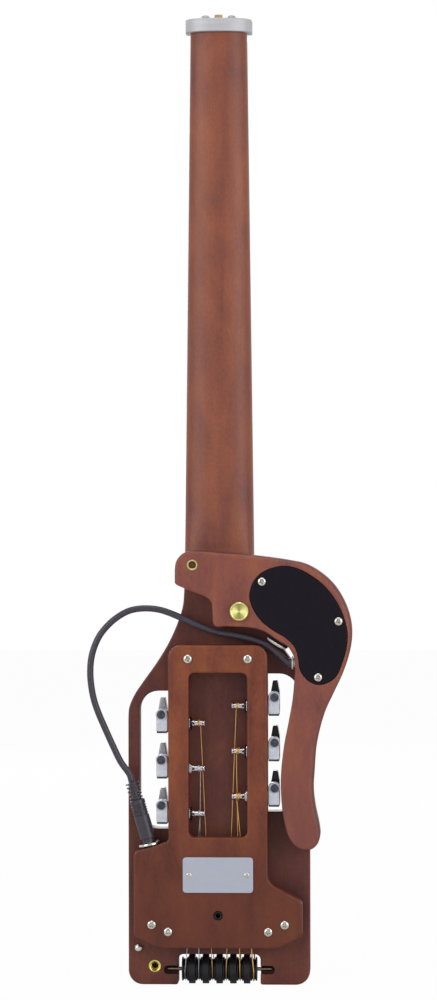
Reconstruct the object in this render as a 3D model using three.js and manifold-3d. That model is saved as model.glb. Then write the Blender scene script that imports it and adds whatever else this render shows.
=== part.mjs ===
// Travel guitar without a headstock, standing on its tail with its back towards -Y.
// The neck and the slab body are one piece. A raised block on the back holds six tuners,
// and the strings run over the front, round a row of rollers at the tail, and back up to them.
// A curved lap rest with the electronics is held on by one thumbscrew and a locating pin.
// Frame: millimetres, origin in the middle of the tail edge, X to the right seen from the back,
// Z along the neck, the slab between -slab_thickness / 2 and slab_thickness / 2 in Y.

import * as THREE from "three";
import { mergeVertices } from "three/addons/utils/BufferGeometryUtils.js";
import Module from "manifold-3d";

const wasm = await Module();
wasm.setup();

// Shared by all pieces
const clearance = 0.3;
const overrun = 1;
const round_sides = 18;
const small_sides = 12;
const string_hole_sides = 8;

// Slab and neck
const overall_length = 711;
const slab_width = 133.5;
const slab_thickness = 19;
const slab_corner_radius = 10.5;
const side_stagger = 12.7;
const shoulder_below_slot = 20;
const flare_height = 94;
const neck_root_rise = 16;
const neck_width_at_nut = 41.8;
const neck_width_at_heel = 50.8;
const neck_depth_at_nut = 15;
const neck_depth_at_heel = 16.5;
const heel_rise = 14;
const heel_blend = 28;
const neck_side_depth = 3;
const slot_strip_width = 8.4;
const slot_below_post = 11.8;
const slot_above_post = 23.1;
const slot_under_housing = 7.5;
const slot_corner_radius = 14;
const slot_inner_radius = 3;
const notch_width = 60.6;
const notch_height = 22.7;
const notch_corner_radius = 2.2;
const notch_ramp_rise = 12;
const truss_channel_width = 7;
const truss_channel_depth = 9;
const truss_channel_bottom = 345;

// Fretboard, nut, bridge and pickup on the front
const fret_count = 22;
const fretboard_thickness = 5.7;
const fret_width = 2.2;
const fret_height = 1;
const saddle_height_on_slab = 69;
const saddle_thickness = 3;
const saddle_rise = 8.4;
const saddle_width = 57;
const saddle_slot_depth = 1.5;
const bridge_width = 66;
const bridge_length = 18;
const bridge_thickness = 3.2;
const nut_thickness = 3;
const nut_rise = 6.9;
const nut_gap = 0.65;
const pickup_width = 70;
const pickup_length = 20;
const pickup_from_saddle = 28;
const pickup_rise = 4.8;
const pickup_depth = 11;

// End cap and truss rod
const cap_thickness = 9.7;
const cap_margin = 3.7;
const cap_front_rise = 11;
const cap_screw_spacing = 9.6;
const cap_screw_shank_radius = 1.6;
const truss_rod_width = 5.6;
const truss_rod_depth = 7.5;
const truss_end_radius = 2.2;
const truss_nut_radius = 2.95;
const truss_nut_rise = 3.5;

// Tuner housing: the raised block on the back
const housing_height = 20;
const housing_edge_radius = 1.6;
const housing_half_width = 36.3;
const window_margin = 20.3;
const housing_bottom_height = 28.9;
const housing_corner_radius = 9.4;
const housing_wing_half_width = 61.6;
const housing_left_shoulder = 102.7;
const housing_right_shoulder = 61;
const window_half_width = 21.3;
const window_below_post = 16.5;
const window_above_post = 24.4;
const window_corner_radius = 4.4;
const tunnel_half_width = 28.2;
const tunnel_depth = 9;
const plate_width = 51.4;
const plate_length = 25.9;
const plate_thickness = 0.9;
const plate_below_window = 27.4;
const plate_corner_radius = 2.5;
const socket_height_on_slab = 53;
const socket_radius = 3.15;
const socket_bore_radius = 1.45;
const socket_depth = 6;
const socket_rise = 0.8;

// Tuners
const post_pitch = 33.2;
const post_above_jack = 23.9;
const post_radius = 2.1;
const post_flare_radius = 2.5;
const post_tip_offset = 9.9;
const post_flare_length = 1.6;
const post_end_in_case = 6.6;
const gear_radius = 3.9;
const gear_thickness = 3.2;
const worm_centre_distance = 6.6;
const worm_in_case = 4.7;
const worm_radius = 2.2;
const worm_shaft_radius = 1.5;
const worm_cap_radius = 3;
const worm_cap_thickness = 1.3;
const case_width = 8.4;
const case_seat = 0.4;
const case_depth = 14.6;
const case_wall = 1.4;
const case_below_post = 7;
const case_above_worm = 4.1;
const bush_radius = 3.2;
const bush_proud = 1.9;
const button_reach = 11.7;
const button_hub_thickness = 6.2;
const button_tip_thickness = 3.3;
const button_depth = 14;
const button_tip_radius = 1.5;

// Strings and the tail rollers
const string_spacing_at_nut = 7.2;
const roller_pitch = 10.1;
const axle_height = 10.9;
const axle_depth_from_centre = 2.3;
const axle_radius = 1.45;
const axle_end_offset = 39.8;
const axle_channel_half_height = 3.2;
const roller_radius = 9.15;
const roller_groove_radius = 7.6;
const roller_width = 4.8;
const roller_groove_width = 1.8;
const spacer_radius = 10.5;
const spacer_width = 4.7;
const string_radii = [0.25, 0.28, 0.32, 0.38, 0.46, 0.58];
const string_wrap_offset = 13.2;
const string_turns = 2;
const string_turn_gap = 0.5;
const string_sides = 5;
const steps_per_turn = 9;
const roller_arc_steps = 8;

// Lap rest and what it carries
const rest_thickness = 19.7;
const rest_edge_radius = 3.2;
const arm_inside_share = 0.597;
const underside_share = 0.739;
const arm_beside_housing = 9.7;
const rest_width = 129.5;
const rest_over_housing = 12.54;
const rest_height = 219;
const cover_thickness = 1.6;
const cover_across_share = 0.4224;
const cover_width_share = 0.5498;
const cover_up_share = 0.5507;
const cover_height_share = 0.3945;
const cover_ledge = 4;
const cavity_depth = 13;
const thumbscrew_across_share = 0.3645;
const thumbscrew_up_share = 0.7945;
const thumbscrew_radius = 7.1;
const thumbscrew_rise = 4;
const thumbscrew_shank_radius = 3;
const thumbscrew_reach = 10;
const ferrule_across_share = 0.0988;
const ferrule_up_share = 0.9493;
const ferrule_radius = 4;
const ferrule_bore_radius = 2.8;
const pin_radius = 2.4;
const pin_recess = 1.2;
const pin_reach = 8;
const knob_across_share = 0.5807;
const knob_up_share = 0.695;
const knob_lean = 31.3;
const knob_radius = 7.7;
const knob_skirt = 2.7;
const knob_dome = 1.5;
const knob_shaft_radius = 3;
const knob_shaft_length = 9;
const board_width = 32;
const board_length = 24;
const board_thickness = 7;
const board_across_share = 0.6896;
const board_up_share = 0.8128;
const gland_across_share = 0.6695;
const gland_up_share = 0.6219;
const gland_flange_radius = 4.6;
const gland_flange_thickness = 1.1;
const gland_stub_radius = 3.4;
const gland_stub_length = 8;

// Cord, plug and jack
const cord_radius = 2.4;
const cord_sides = 10;
const cord_steps = 34;
const loop_left = -93.9;
const loop_rise = 39.8;
const jack_beside_housing = 13.7;
const jack_z = 102.6;
const jack_lean = 16;
const jack_flange_radius = 8.15;
const jack_flange_thickness = 1.2;
const jack_barrel_radius = 4.8;
const jack_barrel_length = 20;
const jack_bore_radius = 2.1;
const plug_tip_radius = 1.75;
const plug_tip_length = 13;
const plug_neck_radius = 4;
const plug_neck_length = 3;
const plug_barrel_radius = 4.85;
const plug_barrel_length = 31;
const boot_core_radius = 3.2;
const boot_rib_radius = 4.5;
const boot_length = 13.5;
const boot_rib_count = 5;

// Fittings near the tail
const insert_offset = -47.4;
const insert_height_on_slab = 13.7;
const insert_radius = 4.55;
const insert_bore_radius = 2.4;
const insert_depth = 12;
const insert_rise = 0.3;
const stud_offset = -59.3;
const stud_height_on_slab = 27.1;
const stud_radius = 3.1;
const stud_rise = 3;
const stud_shank_radius = 1.6;
const stud_shank_length = 8;

// Planes that several pieces share
const slab_back = -slab_thickness / 2;
const slab_front = slab_thickness / 2;
const block_floor = slab_back - clearance;
const block_back = slab_back - housing_height;
const block_middle = (block_floor + block_back) / 2;
const rest_back = block_floor - rest_thickness;
const board_front = slab_front + clearance;
const fretboard_front = board_front + fretboard_thickness;
const axle_y = -axle_depth_from_centre;
const cap_bottom = overall_length - cap_thickness;
const lowest_post_height = jack_z + post_above_jack;
const highest_left_post = lowest_post_height + 2 * post_pitch;
const slot_bottom_height = lowest_post_height - slot_below_post;
const slot_top_height = highest_left_post + slot_above_post;
const window_bottom_height = lowest_post_height - window_below_post;
const plate_height_on_slab = window_bottom_height - plate_below_window;
const window_top_height = highest_left_post + side_stagger + window_above_post;
const housing_top_height = window_top_height + window_margin;
const shoulder_height = slot_top_height - shoulder_below_slot;
const slab_top_height = shoulder_height + flare_height + neck_root_rise;
const heel_height = slab_top_height + heel_rise;
const nut_line = cap_bottom - nut_gap - nut_thickness;
const scale_length = nut_line - saddle_height_on_slab;
const slot_inner_offset = housing_half_width - slot_under_housing;
const pickup_height_on_slab = saddle_height_on_slab + pickup_from_saddle;
const case_inner_offset = housing_half_width + case_seat;
const post_end_offset = case_inner_offset + post_end_in_case;
const worm_offset = case_inner_offset + worm_in_case;
const bush_end_offset = window_half_width - bush_proud;
const jack_x = -housing_half_width - jack_beside_housing;
const rest_left = housing_half_width + arm_beside_housing - arm_inside_share * rest_width;
const rest_bottom = housing_top_height + rest_over_housing - underside_share * rest_height;
const onRest = (share) => rest_left + share * rest_width;
const upRest = (share) => rest_bottom + share * rest_height;
const cover_left = onRest(cover_across_share);
const cover_bottom = upRest(cover_up_share);
const cover_width = cover_width_share * rest_width;
const cover_height = cover_height_share * rest_height;
const thumbscrew_offset = onRest(thumbscrew_across_share);
const thumbscrew_z = upRest(thumbscrew_up_share);
const ferrule_offset = onRest(ferrule_across_share);
const ferrule_z = upRest(ferrule_up_share);
const knob_x = onRest(knob_across_share);
const knob_z = upRest(knob_up_share);
const board_x = onRest(board_across_share);
const board_z = upRest(board_up_share);
const gland_x = onRest(gland_across_share);
const gland_z = upRest(gland_up_share);

// Materials, with the colours of the photograph
const paint = (color, roughness, metalness) =>
  new THREE.MeshStandardMaterial({ color, roughness, metalness });
const walnut = paint(0x5c3028, 0.42, 0);
const mahogany = paint(0x8c5848, 0.42, 0);
const redwood = paint(0x7a4630, 0.42, 0);
const dark_wood = paint(0x2a1a16, 0.55, 0);
const bone = paint(0xe8e0cc, 0.5, 0);
const black_plastic = paint(0x211e24, 0.5, 0);
const rubber = paint(0x3a3840, 0.6, 0);
const nickel = paint(0xc0c0c8, 0.28, 1);
const die_cast = paint(0xb0b4c0, 0.45, 0.9);
const brass = paint(0xc8b868, 0.3, 1);
const plain_steel = paint(0xa8a4a4, 0.3, 1);
const wound_bronze = paint(0xb08850, 0.35, 1);
const green_board = paint(0x2c5a3c, 0.6, 0);

// Geometry to solid and back. Only positions are kept, with shared corners merged.
function solidOf(geometry) {
  const bare = geometry.clone();
  bare.deleteAttribute("normal");
  bare.deleteAttribute("uv");
  const merged = mergeVertices(bare, clearance / 1000);
  return new wasm.Manifold(
    new wasm.Mesh({
      numProp: 3,
      vertProperties: new Float32Array(merged.attributes.position.array),
      triVerts: new Uint32Array(merged.index.array),
    }),
  );
}

const root = new THREE.Group();

function addPiece(name, solid, material) {
  const made = solid.getMesh();
  const geometry = new THREE.BufferGeometry();
  geometry.setAttribute("position", new THREE.BufferAttribute(made.vertProperties, 3));
  geometry.setIndex(new THREE.BufferAttribute(made.triVerts, 1));
  const faceted = geometry.toNonIndexed();
  faceted.computeVertexNormals();
  const mesh = new THREE.Mesh(faceted, material);
  mesh.name = name;
  root.add(mesh);
  return mesh;
}

const subtractAll = (solid, cutters) => cutters.reduce((left, cutter) => left.subtract(cutter), solid);

const at = (x, y, z) => new THREE.Vector3(x, y, z);

// Outlines are drawn as [x, z] pairs, counter-clockwise.
function arc(cx, cz, radius, from_degrees, to_degrees, steps) {
  return Array.from({ length: steps + 1 }, (_, i) => {
    const angle = THREE.MathUtils.degToRad(from_degrees + ((to_degrees - from_degrees) * i) / steps);
    return [cx + radius * Math.cos(angle), cz + radius * Math.sin(angle)];
  });
}

function roundedBox(left, right, bottom, top, radius, steps = 4) {
  return [
    ...arc(right - radius, top - radius, radius, 0, 90, steps),
    ...arc(left + radius, top - radius, radius, 90, 180, steps),
    ...arc(left + radius, bottom + radius, radius, 180, 270, steps),
    ...arc(right - radius, bottom + radius, radius, 270, 360, steps),
  ];
}

function smooth(points, steps, closed = false) {
  const curve = new THREE.CatmullRomCurve3(
    points.map(([x, z]) => new THREE.Vector3(x, 0, z)),
    closed,
    "centripetal",
  );
  const sampled = curve.getPoints(steps).map((p) => [p.x, p.z]);
  return closed ? sampled.slice(0, -1) : sampled;
}

const place = (shares, left, width, bottom, height) =>
  shares.map(([across, up]) => [left + across * width, bottom + up * height]);

// A plate stands between y_near and y_far, y_near being the side nearer to the back.
function plate(outline, y_near, y_far, bevel = 0) {
  const shape = new THREE.Shape(outline.map(([x, z]) => new THREE.Vector2(x, z)));
  const geometry = new THREE.ExtrudeGeometry(shape, {
    depth: y_far - y_near - 2 * bevel,
    bevelEnabled: bevel > 0,
    bevelThickness: bevel,
    bevelSize: bevel,
    bevelOffset: -bevel,
    bevelSegments: 2,
  });
  geometry.rotateX(Math.PI / 2);
  return solidOf(geometry.translate(0, y_far - bevel, 0));
}

function box(x0, x1, y0, y1, z0, z1) {
  const geometry = new THREE.BoxGeometry(x1 - x0, y1 - y0, z1 - z0);
  return solidOf(geometry.translate((x0 + x1) / 2, (y0 + y1) / 2, (z0 + z1) / 2));
}

// A prism runs along X over an outline of [y, z] pairs.
function prism(outline, x0, x1) {
  const shape = new THREE.Shape(outline.map(([y, z]) => new THREE.Vector2(y, z)));
  const geometry = new THREE.ExtrudeGeometry(shape, { depth: x1 - x0, bevelEnabled: false });
  const turn = new THREE.Matrix4().makeBasis(at(0, 1, 0), at(0, 0, 1), at(1, 0, 0));
  return solidOf(geometry.applyMatrix4(turn).translate(x0, 0, 0));
}

// A turned piece: its profile is [along, radius] pairs from the axis back to the axis.
function turned(profile, origin, direction, sides = round_sides) {
  const points = profile.map(([along, radius]) => new THREE.Vector2(radius, along));
  const geometry = new THREE.LatheGeometry(points, sides);
  const turn = new THREE.Quaternion().setFromUnitVectors(
    new THREE.Vector3(0, 1, 0),
    direction.clone().normalize(),
  );
  geometry.applyQuaternion(turn);
  const solid = solidOf(geometry.translate(origin.x, origin.y, origin.z));
  return solid;
}

const rod = (origin, direction, from, to, radius, sides = small_sides) =>
  turned([[from, 0], [from, radius], [to, radius], [to, 0]], origin, direction, sides);
const ring = (origin, direction, from, to, outer, inner, sides = round_sides) =>
  turned([[from, inner], [from, outer], [to, outer], [to, inner], [from, inner]], origin, direction, sides);
const along_x = at(1, 0, 0);
const toward_back = at(0, -1, 0);
const upward = at(0, 0, 1);

// A tube of any run of points, its section carried along without twist and capped at both ends.
function tube(points, radius, sides) {
  const tangents = points.map((_, i) => {
    const before = points[Math.max(i - 1, 0)];
    const after = points[Math.min(i + 1, points.length - 1)];
    return after.clone().sub(before).normalize();
  });
  const helper = Math.abs(tangents[0].x) < 0.9 ? along_x : upward;
  let side = helper.clone().cross(tangents[0]).normalize();
  const corners = [];
  points.forEach((point, i) => {
    side = side.clone().addScaledVector(tangents[i], -side.dot(tangents[i])).normalize();
    const up = tangents[i].clone().cross(side);
    for (let k = 0; k < sides; k++) {
      const angle = (2 * Math.PI * k) / sides;
      const out = side.clone().multiplyScalar(Math.cos(angle)).addScaledVector(up, Math.sin(angle));
      corners.push(point.clone().addScaledVector(out, radius));
    }
  });
  const faces = [];
  for (let i = 0; i + 1 < points.length; i++) {
    for (let k = 0; k < sides; k++) {
      const next = (k + 1) % sides;
      const [a, b, c, d] = [i * sides + k, i * sides + next, (i + 1) * sides + next, (i + 1) * sides + k];
      faces.push(a, b, c, a, c, d);
    }
  }
  const last = (points.length - 1) * sides;
  for (let k = 1; k + 1 < sides; k++) {
    faces.push(0, k + 1, k);
    faces.push(last, last + k, last + k + 1);
  }
  const geometry = new THREE.BufferGeometry().setFromPoints(corners);
  geometry.setIndex(faces);
  return solidOf(geometry);
}

// The neck: rounded sections along Z, squarer and deeper where it runs into the slab
const neckWidth = (z) =>
  THREE.MathUtils.mapLinear(z, heel_height, nut_line, neck_width_at_heel, neck_width_at_nut);

function neckSection(half_width, depth, side_depth, squareness, steps = 16) {
  const arc_depth = depth - side_depth;
  const points = Array.from({ length: steps + 1 }, (_, i) => {
    const angle = (Math.PI * i) / steps;
    const across = Math.sign(Math.cos(angle)) * Math.abs(Math.cos(angle)) ** (2 / squareness);
    const down = Math.abs(Math.sin(angle)) ** (2 / squareness);
    return [-half_width * across, slab_front - side_depth - arc_depth * down];
  });
  return [[-half_width, slab_front], ...points, [half_width, slab_front]];
}

function loft(sections) {
  const count = sections[0].outline.length;
  const corners = sections.flatMap(({ z, outline }) => outline.map(([x, y]) => at(x, y, z)));
  const faces = [];
  for (let s = 0; s + 1 < sections.length; s++) {
    for (let k = 0; k < count; k++) {
      const next = (k + 1) % count;
      const [a, b, c, d] = [s * count + k, s * count + next, (s + 1) * count + next, (s + 1) * count + k];
      faces.push(a, b, c, a, c, d);
    }
  }
  const flat = sections[0].outline.map(([x, y]) => new THREE.Vector2(x, y));
  THREE.ShapeUtils.triangulateShape(flat, []).forEach(([a, b, c]) => {
    const last = (sections.length - 1) * count;
    faces.push(c, b, a);
    faces.push(last + a, last + b, last + c);
  });
  const geometry = new THREE.BufferGeometry().setFromPoints(corners);
  geometry.setIndex(faces);
  return solidOf(geometry);
}

const round_squareness_share = 2.3;
const heel_squareness_share = 7;
const neckStation = (z, depth, squareness) => ({
  z,
  outline: neckSection(neckWidth(z) / 2, depth, neck_side_depth, squareness),
});
const neck = loft([
  neckStation(slab_top_height - slab_corner_radius, slab_thickness, heel_squareness_share),
  neckStation(slab_top_height, slab_thickness, heel_squareness_share),
  neckStation(heel_height, neck_depth_at_heel, heel_squareness_share / 2),
  neckStation(heel_height + heel_blend, neck_depth_at_heel, round_squareness_share),
  neckStation(cap_bottom - clearance, neck_depth_at_nut, round_squareness_share),
]);

// Slab outline: both flares follow one curve, and the right one sits higher by the stagger
const flare_shares = [
  [1, 0], [0.985, 0.08], [0.891, 0.18], [0.762, 0.267], [0.508, 0.423],
  [0.281, 0.586], [0.109, 0.755], [0.023, 0.881], [0, 1],
];
const slab_half = slab_width / 2;
const neck_root_half = neck_width_at_heel / 2;
const flare = smooth(
  place(flare_shares, neck_root_half, slab_half - neck_root_half, shoulder_height, flare_height),
  20,
);
const slab_outline = [
  ...arc(-slab_half + slab_corner_radius, slab_corner_radius, slab_corner_radius, 180, 270, 6),
  ...arc(slab_half - slab_corner_radius, slab_corner_radius, slab_corner_radius, 270, 360, 6),
  ...flare.map(([x, z]) => [x, z + side_stagger]),
  [neck_root_half, slab_top_height],
  [-neck_root_half, slab_top_height],
  ...flare.map(([x, z]) => [-x, z]).reverse(),
];

// A slot beside the housing for the fingers, its outer corners drawn larger
const slot_outer = slab_half - slot_strip_width;
function slotOutline(side, rise) {
  const low = slot_bottom_height + rise;
  const high = slot_top_height + rise;
  const [r, q] = [slot_corner_radius, slot_inner_radius];
  const right_hand = [
    ...arc(slot_outer - r, high - r, r, 0, 90, 6),
    ...arc(slot_inner_offset + q, high - q, q, 90, 180, 3),
    ...arc(slot_inner_offset + q, low + q, q, 180, 270, 3),
    ...arc(slot_outer - r, low + r, r, 270, 360, 6),
  ];
  return side > 0 ? right_hand : right_hand.map(([x, z]) => [-x, z]).reverse();
}
const through = [slab_back - overrun, slab_front + overrun];
const slots = [
  plate(slotOutline(-1, 0), ...through),
  plate(slotOutline(1, side_stagger), ...through),
];

// The notch that holds the rollers, with a ramp on the front for the strings to come down
const notch_half = notch_width / 2;
const notch_corner_x = notch_half - notch_corner_radius;
const notch_corner_z = notch_height - notch_corner_radius;
const notch = plate(
  [
    [notch_half, -overrun],
    ...arc(notch_corner_x, notch_corner_z, notch_corner_radius, 0, 90, 3),
    ...arc(-notch_corner_x, notch_corner_z, notch_corner_radius, 90, 180, 3),
    [-notch_half, -overrun],
  ],
  ...through,
);
const ramp_floor = axle_y + roller_groove_radius - overrun;
const ramp = prism(
  [
    [slab_front + overrun, axle_height],
    [slab_front + overrun, notch_height + notch_ramp_rise],
    [slab_front, notch_height + notch_ramp_rise],
    [ramp_floor, notch_height - overrun],
    [ramp_floor, axle_height],
  ],
  -notch_half,
  notch_half,
);

const axleChannel = (side) => {
  const inner = notch_half - overrun;
  const outer = axle_end_offset + clearance + axle_channel_half_height;
  const [left, right] = side > 0 ? [inner, outer] : [-outer, -inner];
  const channel = roundedBox(
    left, right, axle_height - axle_channel_half_height, axle_height + axle_channel_half_height,
    axle_channel_half_height - clearance,
  );
  return plate(channel, slab_back - overrun, axle_y + axle_radius + clearance);
};

const truss_channel = box(
  -truss_channel_width / 2, truss_channel_width / 2,
  slab_front - truss_channel_depth, slab_front + overrun,
  truss_channel_bottom, overall_length,
);
const pickup_pocket = box(
  -pickup_width / 2 - clearance, pickup_width / 2 + clearance,
  slab_front - pickup_depth - clearance, slab_front + overrun,
  pickup_height_on_slab - pickup_length / 2 - clearance,
  pickup_height_on_slab + pickup_length / 2 + clearance,
);
const backHole = (x, z, radius, depth) =>
  rod(at(x, slab_back, z), toward_back, -depth, overrun, radius);

const body = subtractAll(plate(slab_outline, slab_back, slab_front).add(neck), [
  ...slots,
  notch,
  ramp,
  axleChannel(-1),
  axleChannel(1),
  truss_channel,
  pickup_pocket,
  backHole(thumbscrew_offset, thumbscrew_z, thumbscrew_shank_radius + clearance,
    thumbscrew_reach + clearance),
  backHole(ferrule_offset, ferrule_z, pin_radius + clearance, pin_reach + clearance),
  backHole(insert_offset, insert_height_on_slab, insert_radius + clearance, insert_depth + clearance),
  backHole(stud_offset, stud_height_on_slab, stud_shank_radius + clearance, stud_shank_length + clearance),
]);
addPiece("body", body, walnut);

// Fretboard with its frets, placed by the rule of the twelfth root of two
const fretHeight = (n) => nut_line - scale_length * (1 - 2 ** (-n / 12));
const fretboard_bottom = fretHeight(fret_count) - 2 * fret_width;
const fretboardHalf = (z) => neckWidth(z) / 2;
const fretboard_base = plate(
  [
    [-fretboardHalf(fretboard_bottom), fretboard_bottom],
    [fretboardHalf(fretboard_bottom), fretboard_bottom],
    [fretboardHalf(nut_line), nut_line - clearance],
    [-fretboardHalf(nut_line), nut_line - clearance],
  ],
  board_front,
  fretboard_front,
);
let fretboard = fretboard_base;
for (let n = 1; n <= fret_count; n++) {
  const z = fretHeight(n);
  const half = fretboardHalf(z) - clearance;
  const fret = box(
    -half, half, fretboard_front - fret_height, fretboard_front + fret_height,
    z - fret_width / 2, z + fret_width / 2,
  );
  fretboard = fretboard.add(fret);
}
addPiece("fretboard", fretboard, dark_wood);

const nut_half = neckWidth(nut_line) / 2;
addPiece(
  "nut",
  box(-nut_half, nut_half, board_front, board_front + nut_rise, nut_line, nut_line + nut_thickness),
  bone,
);

// Bridge base, and the saddle in its slot
const bridge_low = saddle_height_on_slab - bridge_length / 2;
const bridge_high = saddle_height_on_slab + bridge_length / 2;
const saddle_low = saddle_height_on_slab - saddle_thickness / 2;
const saddle_high = saddle_height_on_slab + saddle_thickness / 2;
const bridge_front = board_front + bridge_thickness;
const bridge = plate(
  roundedBox(-bridge_width / 2, bridge_width / 2, bridge_low, bridge_high, bridge_thickness),
  board_front,
  bridge_front,
).subtract(
  box(
    -saddle_width / 2 - clearance, saddle_width / 2 + clearance,
    bridge_front - saddle_slot_depth, bridge_front + overrun,
    saddle_low - clearance, saddle_high + clearance,
  ),
);
addPiece("bridge_base", bridge, dark_wood);
const saddle_front = board_front + saddle_rise;
addPiece(
  "saddle",
  box(
    -saddle_width / 2, saddle_width / 2,
    bridge_front - saddle_slot_depth + clearance, saddle_front,
    saddle_low, saddle_high,
  ),
  bone,
);
addPiece(
  "pickup",
  plate(
    roundedBox(
      -pickup_width / 2, pickup_width / 2,
      pickup_height_on_slab - pickup_length / 2, pickup_height_on_slab + pickup_length / 2,
      overrun,
    ),
    slab_front - pickup_depth,
    slab_front + pickup_rise,
  ),
  black_plastic,
);

// End cap: the neck's section drawn wider, with holes for the screws, the rod and the strings
const stringAcross = (n, spacing) => (n - 3.5) * spacing;
const string_y_at_nut = board_front + nut_rise + clearance;
const capAxis = (x, y) => at(x, y, cap_bottom);
const hole = (x, y, radius, sides = small_sides) =>
  rod(capAxis(x, y), upward, -overrun, cap_thickness + overrun, radius, sides);
const cap_outline = neckSection(
  neck_width_at_nut / 2 + cap_margin,
  neck_depth_at_nut + cap_margin,
  neck_side_depth,
  round_squareness_share,
).map(([x, y]) => [x, y === slab_front ? slab_front + cap_front_rise : y]);
const rod_axis_y = slab_front - truss_channel_depth / 2 - clearance;
const end_cap = subtractAll(
  loft([cap_bottom, overall_length].map((z) => ({ z, outline: cap_outline }))),
  [
    hole(0, rod_axis_y, truss_end_radius + clearance),
    hole(-cap_screw_spacing, rod_axis_y, cap_screw_shank_radius + clearance),
    hole(cap_screw_spacing, rod_axis_y, cap_screw_shank_radius + clearance),
    ...string_radii.map((radius, i) => {
      const across = stringAcross(i + 1, string_spacing_at_nut);
      return hole(across, string_y_at_nut + radius, 2 * radius + 2 * clearance, string_hole_sides);
    }),
  ],
);
addPiece("end_cap", end_cap, nickel);

// Truss rod in its channel, ending in a brass nut on the cap
const rod_top = cap_bottom - 2 * clearance;
const rod_axis = at(0, rod_axis_y, 0);
const cap_top = overall_length + clearance;
const truss_rod = box(
  -truss_rod_width / 2, truss_rod_width / 2,
  rod_axis_y - truss_rod_depth / 2, rod_axis_y + truss_rod_depth / 2,
  truss_channel_bottom + clearance, rod_top,
)
  .add(rod(rod_axis, upward, rod_top - overrun, cap_top + overrun, truss_end_radius))
  .add(rod(rod_axis, upward, cap_top, cap_top + truss_nut_rise, truss_nut_radius, round_sides));
addPiece("truss_rod", truss_rod, brass);

// Housing outline: straight sides and a sloped shoulder on the left, a long fillet on the right
const lean = THREE.MathUtils.degToRad(jack_lean);
const wing = housing_wing_half_width;
const wing_height = housing_left_shoulder - housing_bottom_height;
const left_wing_shares = [
  [0, 0.13], [0.232, 0.03], [0.31, 0.008], [0.45, 0],
];
const left_wing = place(left_wing_shares, -wing, wing, housing_bottom_height, wing_height);
const right_wing = left_wing.map(([x, z]) => [-x, z]).reverse();
const slopeAt = (x) => jack_z + (x - jack_x) * Math.tan(lean);
const left_fillet = housing_corner_radius / 2;
const housing_outline = [
  [-wing, jack_z - 2 * housing_corner_radius],
  ...left_wing,
  ...right_wing,
  [wing, housing_right_shoulder],
  [wing - clearance * 2, housing_right_shoulder + overrun],
  [wing - housing_corner_radius / 2, housing_right_shoulder + housing_corner_radius / 2],
  [housing_half_width + housing_corner_radius / 4, housing_right_shoulder + housing_corner_radius * 1.6],
  [housing_half_width, housing_right_shoulder + housing_corner_radius * 2.4],
  ...arc(
    housing_half_width - housing_corner_radius, housing_top_height - housing_corner_radius,
    housing_corner_radius, 0, 90, 6,
  ),
  ...arc(
    housing_corner_radius - housing_half_width, housing_top_height - housing_corner_radius,
    housing_corner_radius, 90, 180, 6,
  ),
  [-housing_half_width, slopeAt(-housing_half_width) + left_fillet],
  [-housing_half_width - left_fillet / 3, slopeAt(-housing_half_width) + left_fillet / 4],
  [-housing_half_width - left_fillet, slopeAt(-housing_half_width - left_fillet)],
  [-wing + left_fillet, slopeAt(-wing + left_fillet)],
  [-wing + left_fillet / 4, slopeAt(-wing) - left_fillet / 2],
];
const jack_axis = at(-Math.sin(lean), 0, Math.cos(lean));
const jack_face = at(jack_x, block_middle, jack_z);
const posts = [1, 2, 3, 4, 5, 6].map((n) => {
  const side = n <= 3 ? -1 : 1;
  const step = n <= 3 ? n - 1 : 6 - n;
  const rise = side > 0 ? side_stagger : 0;
  return { n, side, z: lowest_post_height + rise + step * post_pitch };
});
const housing = subtractAll(
  plate(housing_outline, block_back, block_floor + housing_edge_radius, housing_edge_radius),
  [
    box(-slab_width, slab_width, block_floor, block_floor + slab_thickness, -overrun, overall_length),
    plate(
      roundedBox(
        -window_half_width, window_half_width, window_bottom_height, window_top_height,
        window_corner_radius,
      ),
      block_back - overrun,
      block_floor + overrun,
    ),
    box(
      -tunnel_half_width, tunnel_half_width, slab_back - tunnel_depth, block_floor + overrun,
      housing_bottom_height - overrun, window_bottom_height + overrun,
    ),
    ...posts.map(({ side, z }) =>
      rod(
        at(0, block_middle, z), at(side, 0, 0),
        window_half_width - overrun, housing_half_width + overrun, bush_radius + clearance,
      ),
    ),
    rod(jack_face, jack_axis, -jack_barrel_length - clearance, overrun * 2, jack_barrel_radius + clearance),
    rod(at(0, block_back, socket_height_on_slab), toward_back, -socket_depth - clearance, overrun,
      socket_radius + clearance),
  ],
);
addPiece("tuner_housing", housing, redwood);

addPiece(
  "nameplate",
  plate(
    roundedBox(
      -plate_width / 2, plate_width / 2,
      plate_height_on_slab - plate_length / 2, plate_height_on_slab + plate_length / 2, plate_corner_radius,
    ),
    block_back - clearance - plate_thickness,
    block_back - clearance,
  ),
  nickel,
);
addPiece(
  "headphone_socket",
  turned(
    [
      [-socket_depth, 0], [-socket_depth, socket_radius], [socket_rise, socket_radius],
      [socket_rise, socket_bore_radius], [-socket_depth / 2, socket_bore_radius], [-socket_depth / 2, 0],
    ],
    at(0, block_back, socket_height_on_slab), toward_back, small_sides,
  ),
  black_plastic,
);

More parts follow.
